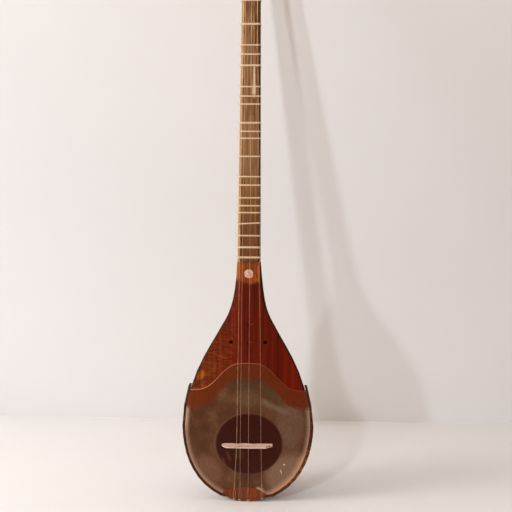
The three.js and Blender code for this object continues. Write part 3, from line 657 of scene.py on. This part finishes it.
# %% Bare skin
stretched, stretched_shader = start_material("stretched_skin", Specular_IOR_Level=0.1)
where = add(stretched, "TexCoord", out="Object")
across = add(stretched, "SeparateXYZ", {0: where}, out="X")
patches = add(stretched, "TexNoise", {
    "Vector": where, "Scale": 1 / (22 * MM), "Detail": 5.0, "Roughness": 0.6,
})
BARE_TONES = [(0.3, "432615"), (0.5, "54321e"), (0.68, "64432c")]
tone = add(stretched, "ValToRGB", {"Fac": patches}, stops=BARE_TONES)
spots = add(stretched, "TexNoise", {"Vector": where, "Scale": 1 / (3 * MM), "Detail": 4.0})
SKIN_TONES = [
    (50, 38, 27, 21, 45, "7c5d48", 0.8),  # paler towards the rim
    (-50, 40, 20, 15, -45, "6e4b36", 0.7),
    (54, 100, 17, 32, 0, "664a3a", 0.7),
    (0, 148, 24, 4, 0, "4c3a24", 0.5),  # olive where the varnish thins out
    (34, 134, 18, 6, -35, "48381f", 0.55),
    (0, 132, 15, 11, 0, "664c34", 0.5),
    (-58, 117, 8, 3, 0, "4c3222", 0.5),
    (17.5, 13.5, 6.5, 3.4, -35, "b88c7a", 0.85),  # worn bare beside the tail plate
]
SKIN_SCRATCHES = [
    (31, 122.5, 14, 3.4, -24, "72604c", 0.4),  # pale streaks
    (44, 117, 10, 3.6, -20, "705a48", 0.35),
    (21, 130, 5, 2.4, -30, "766450", 0.3),
    (47.5, 47.8, 1.0, 0.9, 0, "dcc0a4", 0.9),  # a chip and a scratch
    (43.6, 38.8, 0.45, 2.9, 14, "d4b498", 0.9),
]
tone = mark(stretched, where, tone, SKIN_TONES, noise=patches)
tone = mark(stretched, where, tone, SKIN_SCRATCHES, noise=spots)
dapple = add(stretched, "MapRange", {0: spots, 1: 0.3, 2: 0.7, 3: 0.85, 4: 1.13})
tone = add(stretched, "Mix", {FACTOR: 1.0, FIRST: tone, SECOND: dapple}, **GLAZE)

# %% [markdown]
# Where the skin is glued to the rim and curves over it, a pale strip runs round it: partly the wood
# behind shining through, and partly a painted highlight on the curve. It fades inward, is wider at
# the lower right and stronger at the upper left, the lit side.

# %% Glued strip
rim = add(stretched, "Attribute", out="Fac", attribute_name="from_rim")
ragged = add(stretched, "Math", {0: spots, 1: -1.6, 2: rim}, operation="MULTIPLY_ADD")
wider = patch(stretched, where, 50, 35, 32, 26, 45, soft=0.3)
reach = add(stretched, "Math", {0: wider, 1: 1.5, 2: 3.3}, operation="MULTIPLY_ADD")
inset = add(stretched, "Math", {0: ragged, 1: reach}, operation="DIVIDE")
# painted light: the strip shows more at the upper left, where the light falls
upper_left = patch(stretched, where, -76, 110, 20, 18, soft=0.6)
shown = add(stretched, "MapRange", {0: upper_left, 3: 0.42, 4: 0.8})
shown = add(stretched, "MapRange", {0: wider, 3: shown, 4: 0.85})
pale = add(stretched, "MapRange", {0: inset, 1: 1.7, 2: 0.0})
pale = add(stretched, "Math", {0: pale, 1: 1.7}, operation="POWER")
pale = add(stretched, "Math", {0: pale, 1: shown}, operation="MULTIPLY")
usual, lower_right_rim_tone = colour("c09a84"), colour("b6866a")
lit_rim_tone = add(stretched, "Mix", {FACTOR: wider, FIRST: usual, SECOND: lower_right_rim_tone}, **LAYER)
tone = add(stretched, "Mix", {FACTOR: pale, FIRST: tone, SECOND: lit_rim_tone}, **LAYER)

# %% [markdown]
# The dark oval is the opening of the board, where nothing lies behind the skin: the dark of the
# hollow bowl behind it is painted on the skin as painted shade, with faint brown painted highlights
# in its lower left. A thin paler line runs round it, over the edge of the wood, and shows most on
# the left: a painted highlight where the light catches that edge.

# %% Over the opening
# painted shade: the dark of the hollow bowl, seen through the opening
hole = patch(stretched, where, 2.3, 73.6, 42.6, 38.8, soft=0.04)
# painted highlight: a thin paler ring round the opening, shifted to show most on the left
lit_hole_edge = patch(stretched, where, 0.9, 73.8, 43.4, 39.4, soft=0.03)
shaded = add(stretched, "MapRange", {0: spots, 1: 0.35, 2: 0.65, 3: 0.0, 4: 0.25})
deep, faded = colour("320d06"), colour("44190a")
painted_hole_shade = add(stretched, "Mix", {FACTOR: shaded, FIRST: deep, SECOND: faded}, **LAYER)
# painted highlights: faint brown streaks in the lower left of the opening
HOLE_HIGHLIGHTS = [
    (-24, 58, 2, 7, 20, "603620", 0.4),
    (-30, 51, 1.2, 7, 25, "603620", 0.4),
    (-10, 60, 7, 6, 0, "4a2614", 0.5),
]
painted_hole_shade = mark(stretched, where, painted_hole_shade, HOLE_HIGHLIGHTS, noise=spots)
tone = add(stretched, "Mix", {FACTOR: lit_hole_edge, FIRST: tone, SECOND: colour("5f3d2b")}, **LAYER)
tone = add(stretched, "Mix", {FACTOR: hole, FIRST: tone, SECOND: painted_hole_shade}, **LAYER)

# %% [markdown]
# Last, the red-brown varnish of the board runs over the skin below the bell, further down at the
# sides. Along the cut edge of the skin runs a lighter line, a painted highlight that is brightest
# on the left, where the light falls. Pores of half a millimetre and long handling have made the
# surface satin.

# %% Varnish and gloss
below = add(stretched, "Attribute", out="Fac", attribute_name="below_bell")
from_middle = add(stretched, "Math", {0: across}, operation="ABSOLUTE")
longer = add(stretched, "MapRange", {0: from_middle, 1: 20 * MM, 2: 55 * MM, 3: 0.0, 4: -3.5})
run = add(stretched, "Math", {0: patches, 1: 7.0, 2: below}, operation="MULTIPLY_ADD")
run = add(stretched, "Math", {0: spots, 1: 7.0, 2: run}, operation="MULTIPLY_ADD")
run = add(stretched, "Math", {0: run, 1: longer}, operation="ADD")
fade = {1: 29.5, 2: 24.0, 3: 0.0, 4: 0.93}
varnish = add(stretched, "MapRange", {0: run, **fade}, interpolation_type="SMOOTHSTEP")
redder = add(stretched, "MapRange", {0: across, 1: -60 * MM, 2: 60 * MM})
COAT_TONES = [(0.0, "64280c"), (0.45, "60260c"), (1.0, "5e220c")]
coat = add(stretched, "ValToRGB", {"Fac": redder}, stops=COAT_TONES)
coat = add(stretched, "Mix", {FACTOR: 1.0, FIRST: coat, SECOND: dapple}, **GLAZE)
tone = add(stretched, "Mix", {FACTOR: varnish, FIRST: tone, SECOND: coat}, **LAYER)
# painted highlight along the cut edge, brightest on the left
lip = add(stretched, "MapRange", {0: below, 1: 1.4, 2: 0.8, 3: 0.0, 4: 0.9})
LIT_LIP_TONES = [(0.1, "c27048"), (0.4, "a2563e"), (0.75, "7c321c")]
lit_cut_edge = add(stretched, "ValToRGB", {"Fac": redder}, stops=LIT_LIP_TONES)
tone = add(stretched, "Mix", {FACTOR: lip, FIRST: tone, SECOND: lit_cut_edge}, **LAYER)
pores = add(stretched, "TexNoise", {"Vector": where, "Scale": 1 / (0.6 * MM), "Detail": 2.0})
grainy = add(stretched, "Bump", {"Height": pores, "Strength": 0.4, "Distance": 0.03 * MM})
uneven = add(stretched, "MapRange", {0: spots, 1: 0.3, 2: 0.7, 3: 0.28, 4: 0.2})
connect(stretched, stretched_shader, Base_Color=tone, Roughness=uneven, Normal=grainy)
place(skin, stretched, instead_of="skin")
print("nodes in the skin's finish:", len(stretched.node_tree.nodes))

# %% [markdown]
# ## The band round the skin
# A strip of dark leather is glued round the edge of the skin and covers its fold. It is a flat
# strip bent edgewise, so it keeps its CAD shape with softly rounded edges. Leather shows a fine
# pebble of about a millimetre. Towards the lower right it is painted a lighter brown in blotches,
# as a painted highlight.

# %% Band
leather, leather_shader = start_material("dyed_leather", Specular_IOR_Level=0.06)
where = add(leather, "TexCoord", out="Object")
pebble = add(leather, "TexVoronoi", {"Vector": where, "Scale": 1 / (1.1 * MM)}, out="Distance")
blotches = add(leather, "TexNoise", {
    "Vector": where, "Scale": 1 / (5 * MM), "Detail": 4.0, "Roughness": 0.65,
})
axes = {axis: add(leather, "SeparateXYZ", {0: where}, out=axis) for axis in "XZ"}
# painted highlight: a lighter brown in blotches towards the lower right
to_right = add(leather, "MapRange", {0: axes["X"], 1: 10 * MM, 2: 70 * MM, 3: 0.0, 4: 0.16})
low_down = add(leather, "MapRange", {0: axes["Z"], 1: 90 * MM, 2: 50 * MM})
lighter_share = add(leather, "Math", {0: to_right, 1: low_down, 2: blotches}, operation="MULTIPLY_ADD")
DYE_AND_HIGHLIGHT_TONES = [(0.3, "2a1408"), (0.5, "42200e"), (0.6, "542b14"), (0.72, "7c4a2a")]
tone = add(leather, "ValToRGB", {"Fac": lighter_share}, stops=DYE_AND_HIGHLIGHT_TONES)
creased = add(leather, "Bump", {"Height": pebble, "Strength": 0.5, "Distance": 0.12 * MM})
matt = add(leather, "MapRange", {0: blotches, 3: 0.42, 4: 0.62})
connect(leather, leather_shader, Base_Color=tone, Normal=creased, Roughness=matt)
band = take_copy("rim_band")
swell(band, 0.25)
round_out(band)
flare(band, (0, 30, 60, 100, 115, 130), (0, 1.0, 1.3, 1.3, 0.6, 0))
soften(band, 0.6, angle=35, segments=3)
place(band, leather, instead_of="rim_band")
print("band faces:", len(band.data.polygons))

# %% [markdown]
# ## The tail
# A thin crescent of plum wood takes the pull of the strings at the edge of the face, and the
# holder below it carries four steel pins. Both were carved and oiled, which gives a warm brown
# with a low shine. Steel is drawn through a die, so fine lines run along it and break up its
# highlights. The pins are part of one CAD solid with the holder. They can be told apart because
# they stand in front of its face, so their faces get the metal.

# %% Tail plate and string holder
plum_grain = [(0.3, "4a1c0c"), (0.5, "6c3014"), (0.62, "7c3a1a"), (0.8, "985028")]
plum = wood("oiled_plum", plum_grain, 2.0, 0.45, length=34, rough=0.24, gloss=0.15)[0]
dress("tail_plate", plum, 0.25)

metal, metal_shader = start_material("drawn_steel", Metallic=1.0, Roughness=0.32)
where = add(metal, "TexCoord", out="Object")
stretch = {"Vector": where, "Scale": [1 / (size * MM) for size in (0.1, 0.1, 4)]}
lines = add(metal, "TexNoise", {
    "Vector": add(metal, "Mapping", stretch), "Scale": 1.0, "Detail": 2.0,
})
grey = add(metal, "ValToRGB", {"Fac": lines}, stops=[(0.3, "b48e78"), (0.7, "ecc8ae")])
connect(metal, metal_shader, Base_Color=grey)

holder = take_copy("string_holder")
soften(holder, 0.2, angle=40)
holder.data.materials.append(plum)
holder.data.materials.append(metal)
plate_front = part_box("tail_plate")[0][1]
for face in holder.data.polygons:
    if face.center.y < plate_front - 0.3 * MM:
        face.material_index = 1
place(holder, plum, instead_of="string_holder")
print("steel faces:", sum(face.material_index for face in holder.data.polygons))

# %% [markdown]
# ## The neck and the fingerboard
# The neck is one long piece of walnut, rounded behind, planed and then polished by the hand that
# slides along it. Its left side is painted lighter, as painted light, and its right side darker, as
# painted shade. The fingerboard is a thin strip of the same kind of wood with a straight grain.
# Playing has polished it, so it shines more, with two pale streaks of painted highlight, and it is
# redder where the varnish of the face reaches it.

# %% Neck
walnut_grain = [(0.3, "5a3818"), (0.48, "8a5e34"), (0.6, "a4754a"), (0.78, "c0905c")]
walnut, walnut_shader, tone = wood(
    "polished_walnut", walnut_grain, band=3.2, fibre=0.7, length=110, rough=0.34, gloss=0.08
)
across = add(walnut, "SeparateXYZ", {0: add(walnut, "TexCoord", out="Object")}, out="X")
# painted light and shade: the left side painted lighter as if lit, the right side darker in painted
# shade
LIT_AND_SHADED_SIDES = [  # where a colour starts and is full, in millimetres to the right, and its strength
    (-4, -12, "c09662", 0.65),
    (11 / 3, 11, "2c160a", 0.65),
    (11.5, 13, "1c0c05", 0.85),
]
for start, full, code, share in LIT_AND_SHADED_SIDES:
    turned = add(walnut, "MapRange", {0: across, 1: start * MM, 2: full * MM, 3: 0.0, 4: share})
    tone = add(walnut, "Mix", {FACTOR: turned, FIRST: tone, SECOND: colour(code)}, **LAYER)
connect(walnut, walnut_shader, Base_Color=tone)
dress("neck", walnut, 0.3, angle=40, pair=True)

# %% Fingerboard
played_grain = [(0.34, "44290f"), (0.46, "754a20"), (0.55, "946430"), (0.68, "b4844c")]
played, played_shader, tone = wood(
    "played_fingerboard", played_grain, band=1.7, fibre=0.9, length=16, rough=0.2, gloss=0.2
)
where = add(played, "TexCoord", out="Object")
flecks = add(played, "TexNoise", {"Vector": where, "Scale": 1 / (4 * MM), "Detail": 4.0})
FINGERBOARD_HIGHLIGHTS_AND_MARKS = [
    # painted highlights: two pale streaks where the polished board catches the light
    (4.8, 538, 1.2, 20, 0, "e0c8a8", 0.75),
    (4.6, 524, 2.4, 7, 0, "e0c8a8", 0.5),
    (-2, 560, 1, 50, 0, "402408", 0.4),
    (0, 442, 16, 48, 0, "a47c5a", 0.25),
]
tone = mark(played, where, tone, FINGERBOARD_HIGHLIGHTS_AND_MARKS, noise=flecks)
height = add(played, "SeparateXYZ", {0: where}, out="Z")
redder = add(played, "MapRange", {0: height, 1: 402 * MM, 2: 348 * MM, 3: 0.0, 4: 0.72})
tone = add(played, "Mix", {FACTOR: redder, FIRST: tone, SECOND: colour("60321a")}, **LAYER)
connect(played, played_shader, Base_Color=tone)
dress("fingerboard", played, 0.25, pair=True)

# %% [markdown]
# ## The nut
# The nut is bone, filed to shape and polished: nearly white, a little translucent, with faint
# lines along it.

# %% Nut
bone, bone_shader = start_material(
    "polished_bone", Roughness=0.3, Subsurface_Weight=0.15, Subsurface_Scale=0.002
)
where = add(bone, "TexCoord", out="Object")
stretch = {"Vector": where, "Scale": [1 / (size * MM) for size in (5, 0.4, 0.4)]}
streaks = add(bone, "TexNoise", {
    "Vector": add(bone, "Mapping", stretch), "Scale": 1.0, "Detail": 3.0,
})
ivory = add(bone, "ValToRGB", {"Fac": streaks}, stops=[(0.35, "d9c8a6"), (0.65, "efe4cb")])
connect(bone, bone_shader, Base_Color=ivory)
dress("nut", bone, 0.2)

# %% [markdown]
# ## The inlaid disc
# A disc of pearl is let into the top of the face. Pearl is layers of shell thinner than a
# wavelength of light, so its colour shifts with the angle: thin film on the shader gives that.

# %% Pearl disc
pearl, pearl_shader = start_material(
    "shell_pearl", Roughness=0.25, Coat_Weight=0.3, Thin_Film_Thickness=420, Thin_Film_IOR=1.6
)
where = add(pearl, "TexCoord", out="Object")
growth = add(pearl, "TexNoise", {
    "Vector": where, "Scale": 1 / (3.2 * MM), "Detail": 3.0, "Distortion": 1.0,
})
SHELL_TONES = [(0.34, "ae7c68"), (0.5, "ce9a84"), (0.66, "e8c0ae")]
shell = add(pearl, "ValToRGB", {"Fac": growth}, stops=SHELL_TONES)
connect(pearl, pearl_shader, Base_Color=shell)
dress("inlay_disc", pearl, 0.25)

# %% [markdown]
# ## The bridge
# The bridge is carved from boxwood, left bare and dull, and stands loose on the skin, so that it
# can be moved to tune the octave. It keeps its carved shape, and a bevel takes away the knife
# edges. Its stepped right end is painted brown as painted shade, and the knife has left two long
# strokes along the grain.

# %% Bridge
box_grain = [(0.3, "b89074"), (0.5, "d6b49c"), (0.7, "e8ccb6")]
box_wood, box_shader, tone = wood("bare_boxwood", box_grain, 2.0, 0.5, length=8, rough=0.5)
BRIDGE_SHADE_AND_STROKES = [
    (25.2, 70.4, 0.7, 2.6, 0, "6a4434", 0.75),  # painted shade in brown, at the stepped right end
    (29.2, 72.0, 2.6, 0.9, -8, "5c382a", 0.75),
    (-9, 71.6, 13, 0.35, 2, "9c7660", 0.6),  # strokes along the grain
    (11, 70.0, 11, 0.3, 3, "9c7660", 0.5),
]
tone = mark(box_wood, add(box_wood, "TexCoord", out="Object"), tone, BRIDGE_SHADE_AND_STROKES)
connect(box_wood, box_shader, Base_Color=tone)
dress("bridge", box_wood, 0.22, angle=25, pair=True, body="bridge")

# %% [markdown]
# ## Tubes
# Strings, frets and windings are round cords. A curve with a round bevel follows the points and
# is then made a mesh, so that it can ride on its body like any other piece. The box of a cord's
# CAD solid says where it goes.

# %% Tubes
def cord(name, points_mm, radius_mm):
    """A round cord through the points, closed at its ends."""
    curve = bpy.data.curves.new(name, "CURVE")
    curve.dimensions = "3D"
    curve.bevel_depth = radius_mm * MM
    curve.bevel_resolution = 2
    curve.use_fill_caps = True
    spline = curve.splines.new("POLY")
    spline.points.add(len(points_mm) - 1)
    for point, at in zip(spline.points, points_mm):
        point.co = (*(Vector(at) * MM), 1)
    new_piece(name, curve)
    bpy.ops.object.convert(target="MESH")
    bpy.ops.object.shade_smooth_by_angle(angle=math.radians(60))
    return bpy.context.object


def corners(node):
    """The two corners of a CAD node's box, in millimetres."""
    return [Vector(corner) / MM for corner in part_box(node)]


# %% [markdown]
# ## The frets
# Each fret is one length of gut, tied round the neck in three or four turns that lie side by side,
# and knotted on the player's side. The turns follow the neck's own section: flat over the
# fingerboard and an arch behind. The knot wraps the turns twice, and its end is left a few
# millimetres long, as players leave it. Gut is twisted and dried, so it is straw-coloured and
# dull, and a fine uneven relief breaks its highlights.

# %% Frets
GUT_RADIUS, GUT_PITCH = 0.28, 0.6
SOLID_RADIUS, SOLID_SPREAD = 0.3, 1.0257  # the solid's arch has straight sides, so it is wider
CLOSER = 0.24  # the gut lies closer to the wood than its solid
SIDE_START = 6.0  # from the front to where the arch starts
FOUR_TURNS_TALL = 4.3  # solids that are taller than this have four turns
KNOT_BEHIND = 2.5  # the end of the arch
CORNER = [(0, SIDE_START), (0.25, 2.2), (1.0, 0.6), (2.6, 0)]  # in from the side, and back
ARCH_STEPS = 18
gut, gut_shader = start_material("twisted_gut", Specular_IOR_Level=0.3)
where = add(gut, "TexCoord", out="Object")
# Real strands are about 0.1 mm wide, which wouldn't show, so they are drawn coarser
strands = add(gut, "TexNoise", {"Vector": where, "Scale": 1 / (0.7 * MM), "Detail": 3.0})
STRAW_TONES = [(0.32, "c49c78"), (0.5, "e6c8a4"), (0.68, "f6e0c2")]
straw = add(gut, "ValToRGB", {"Fac": strands}, stops=STRAW_TONES)
twist = add(gut, "Bump", {"Height": strands, "Strength": 0.5, "Distance": 0.05 * MM})
matt = add(gut, "MapRange", {0: strands, 3: 0.6, 4: 0.42})
connect(gut, gut_shader, Base_Color=straw, Normal=twist, Roughness=matt)


def fret_points(low, high, turns, lean):
    """The turns round the neck, from the box of the fret's solid, in millimetres."""
    half = ((high.x - low.x) / 2 - SOLID_RADIUS) / SOLID_SPREAD - CLOSER
    front = low.y + SOLID_RADIUS + CLOSER
    back = high.y - SOLID_RADIUS - CLOSER
    side = front + SIDE_START
    middle = (low.z + high.z) / 2
    loop = [(-half + inward, front + behind) for inward, behind in CORNER]
    loop += [(-x, y) for x, y in reversed(loop)]
    for step in range(1, ARCH_STEPS):
        angle = math.pi * step / ARCH_STEPS
        loop.append((half * math.cos(angle), side + (back - side) * math.sin(angle)))
    points = []
    for i in range(turns * len(loop) + 1):
        x, y = loop[i % len(loop)]
        points.append((x, y, middle + lean * x + GUT_PITCH * (i / len(loop) - turns / 2)))
    return points


def knot_points(start, turns):
    """Two wraps round the turns on the left side, with an end that stands away from the neck."""
    x, y, z = start
    tall = GUT_PITCH * turns / 2 + 0.35
    points = [(x - 0.2, y + 1.6, z - 0.2)]
    for step in range(21):  # ten to a wrap
        angle = 2 * math.pi * step / 10
        outward, upward = 0.1 + 0.6 * math.cos(angle), tall * math.sin(angle)
        points.append((x - outward, y + 1.4 - step * 0.07, z + upward))
    free_end = [(-1.2, -0.3, 0.8), (-2.4, -0.9, 2.0), (-3.1, -1.1, 3.6)]
    return points + [(x + dx, y + dy, z + dz) for dx, dy, dz in free_end]


ASKEW = {"fret_20": 0.05}  # how far it rises, for each millimetre to the right
fret_names = sorted(name for name in nodes if name.startswith("fret_"))
for name in fret_names:
    low, high = corners(name)
    turns = 4 if high.z - low.z > FOUR_TURNS_TALL else 3
    route = fret_points(low, high, turns, ASKEW.get(name, 0))
    start = (route[0][0], route[0][1] + KNOT_BEHIND, (low.z + high.z) / 2)
    place(cord(name + "_gut", route, GUT_RADIUS), gut, name, instead_of=name)
    place(cord(name + "_knot", knot_points(start, turns), GUT_RADIUS), gut, name)
print("frets:", len(fret_names), "last turns:", turns)

# %% [markdown]
# ## The pegs
# A peg is turned on a lathe, so it is made the same way: half its outline is drawn and spun round
# the axis. Every peg has the same outline. The two on the side point to the left and the two on
# the front point forward, as their solids do. The wood was stained and then polished while it
# still turned, so it is dark red-brown with a clear shine.

# %% Turning a peg
peg_grain = [(0.3, "3a150a"), (0.5, "5c2411"), (0.7, "7c3a1c")]
peg_stain = wood("stained_peg_wood", peg_grain, 2.0, 0.5, length=20, rough=0.26, gloss=0.5)[0]
STANDS_OUT = 31.92  # from the head's surface to the end of the knob
PEG_OUTLINE = [  # radius and height above the head's surface
    (3.5, 0), (3.5, 10.8), (4.6, 11.0), (5.1, 11.3), (5.2, 12.5), (5.1, 13.6), (4.6, 14.0),
    (3.4, 14.4), (3.0, 15.2), (3.2, 16.2), (4.2, 17.4), (5.4, 18.6), (6.5, 20.2), (7.2, 22.0),
    (7.4, 23.6), (7.2, 25.2), (6.5, 27.0), (5.4, 28.6), (4.0, 29.7), (2.9, 30.2), (2.5, 30.6),
    (2.4, 31.1), (1.9, 31.6), (1.0, 31.85), (0, 31.9),
]


def turn_peg(name, inward):
    """A peg with its axis along Z, the head's surface at zero and the knob up."""
    outline = [(0, -inward), (3.0, -inward), (3.15, 0.8 - inward)] + PEG_OUTLINE
    points = [(radius * MM, 0, height * MM) for radius, height in outline]
    mesh = bpy.data.meshes.new(name)
    mesh.from_pydata(points, [(i, i + 1) for i in range(len(points) - 1)], [])
    peg = new_piece(name, mesh)
    bpy.ops.object.mode_set(mode="EDIT")
    bpy.ops.mesh.select_all(action="SELECT")
    bpy.ops.mesh.spin(steps=48, angle=2 * math.pi, center=(0, 0, 0), axis=(0, 0, 1))
    bpy.ops.mesh.select_all(action="SELECT")
    bpy.ops.mesh.remove_doubles(threshold=0.01 * MM)
    bpy.ops.mesh.normals_make_consistent(inside=False)
    bpy.ops.object.mode_set(mode="OBJECT")
    bpy.ops.object.shade_smooth_by_angle(angle=math.radians(38))
    return peg


# %% [markdown]
# Each peg also carries the turns of its string, which is bronze on the first and steel on the
# others. Bronze wire is drawn too, and the air has tarnished it, so it is golden with browner
# patches.

# %% Pegs and their windings
bronze, bronze_shader = start_material("bronze_wire", Metallic=1.0, Roughness=0.3)
where = add(bronze, "TexCoord", out="Object")
tarnish = add(bronze, "TexNoise", {"Vector": where, "Scale": 1 / (6 * MM), "Detail": 4.0})
golden = add(bronze, "ValToRGB", {"Fac": tarnish}, stops=[(0.35, "c49668"), (0.65, "ecca9c")])
connect(bronze, bronze_shader, Base_Color=golden)

WIRES = [(bronze, "bronze", 0.22)] + [(metal, "steel", 0.16)] * 3  # with slot and radius
SHAFT_RADIUS = 3.52
WOUND_OUT = 8.6  # from the head's surface to the first turn
TURNS, TURN_STEPS, TURN_GAP = 7, 20, 0.04


def turns_round(axis_turn, at, wire):
    """The string's turns on a peg, side by side, from the outside towards the head."""
    radius = SHAFT_RADIUS + wire
    points = []
    for step in range(TURNS * TURN_STEPS + 1):
        angle = 2 * math.pi * step / TURN_STEPS
        out = WOUND_OUT - (2 * wire + TURN_GAP) * step / TURN_STEPS
        spot = Vector((radius * math.cos(angle), radius * math.sin(angle), out))
        points.append(axis_turn @ spot + at)
    return points


string_ends = []
for index, (material, slot, wire) in enumerate(WIRES):
    name = f"peg_{index + 1}"
    low, high = corners(name)
    middle = [(a + b) / 2 for a, b in zip(low, high)]
    on_side = high.x - low.x > high.y - low.y
    if on_side:
        axis_turn = Matrix.Rotation(-math.pi / 2, 3, "Y")
        at = Vector((low.x + STANDS_OUT, middle[1], middle[2]))
    else:
        axis_turn = Matrix.Rotation(math.pi / 2, 3, "X")
        at = Vector((middle[0], low.y + STANDS_OUT, middle[2]))
    peg = turn_peg(name + "_turned", max(high.x - low.x, high.y - low.y) - STANDS_OUT)
    peg.data.transform(Matrix.Translation(at * MM) @ axis_turn.to_4x4())
    place(peg, peg_stain, body=name, instead_of=name)
    winding = cord(f"winding_{index + 1}_wire", turns_round(axis_turn, at, wire), wire)
    place(winding, material, body=name, instead_of=f"winding_{index + 1}")
    string_ends.append((at, on_side))
print("pegs:", len(string_ends))

# %% [markdown]
# ## The strings
# The lowest string is bronze and the others are plain steel. Each is looped round its pin and
# twisted on itself, passes over the bridge and the nut, and ends on its peg. The tight wire is
# straight, so only the loop and the twist need many points.

# %% Strings
# The pin's place, the places across bridge and nut as shares of half their width, and the height
# at which the twist ends
ROUTES = [
    ((-16.2, 3.5), -0.4, -0.76, 17.5),
    ((-8.55, 2.2), -0.26, -0.6, 22.0),
    ((1.8, 1.8), 0.065, 0.06, 12.5),
    ((19.6, 4.9), 0.56, 0.6, 20.0),
]
BRIDGE_HALF, NUT_HALF = 32.3, 11.5
TAIL_HEIGHT, BRIDGE_HEIGHT = 10, 71.0  # between these the string comes forward to the bridge
LOOP_RADIUS = 1.35
NOTCH = 0.5  # how deep the string lies in the bridge and in the nut
for index, ((pin_x, pin_z), on_bridge, on_nut, top) in enumerate(ROUTES):
    material, slot, wire = WIRES[index]
    at, on_side = string_ends[index]
    bridge_x, nut_x = BRIDGE_HALF * on_bridge, NUT_HALF * on_nut
    tail_y = corners("tail_plate")[0].y - 0.35 - wire
    over = corners("bridge")[0].y + NOTCH - wire
    nut_y = corners("nut")[0].y + NOTCH - wire

    def on_string(z):
        share = (z - TAIL_HEIGHT) / (BRIDGE_HEIGHT - TAIL_HEIGHT)
        return Vector((pin_x + (bridge_x - pin_x) * share, tail_y + (over - tail_y) * share, z))

    points = []
    for step in range(24, -1, -1):  # three turns of the twist, downward
        angle = math.pi * step / 4
        spot = on_string(top - 1.5 + 5.0 * step / 24)
        points.append(spot + Vector((math.cos(angle), math.sin(angle), 0)) * 2.1 * wire)
    points.append(on_string(top - 3) + Vector((1.2, 0, 0)))
    for step in range(13):  # half a turn under the pin
        angle = -math.pi * step / 12
        round_pin = (LOOP_RADIUS * math.cos(angle), 0, LOOP_RADIUS * math.sin(angle))
        points.append(Vector((pin_x, tail_y, pin_z)) + Vector(round_pin))
    points += [on_string(top - 3) - Vector((1.0, 0, 0)), on_string(top)]
    points.append(Vector((bridge_x, over, BRIDGE_HEIGHT)))
    points += [Vector((nut_x, nut_y, corner.z)) for corner in corners("nut")]
    beside = SHAFT_RADIUS + wire
    points.append(at + Vector((-WOUND_OUT, -beside, 0) if on_side else (beside, -WOUND_OUT, 0)))
    string = cord(f"string_{index + 1}_wire", points, wire)
    place(string, material, instead_of=f"string_{index + 1}")
print("strings:", len(ROUTES))
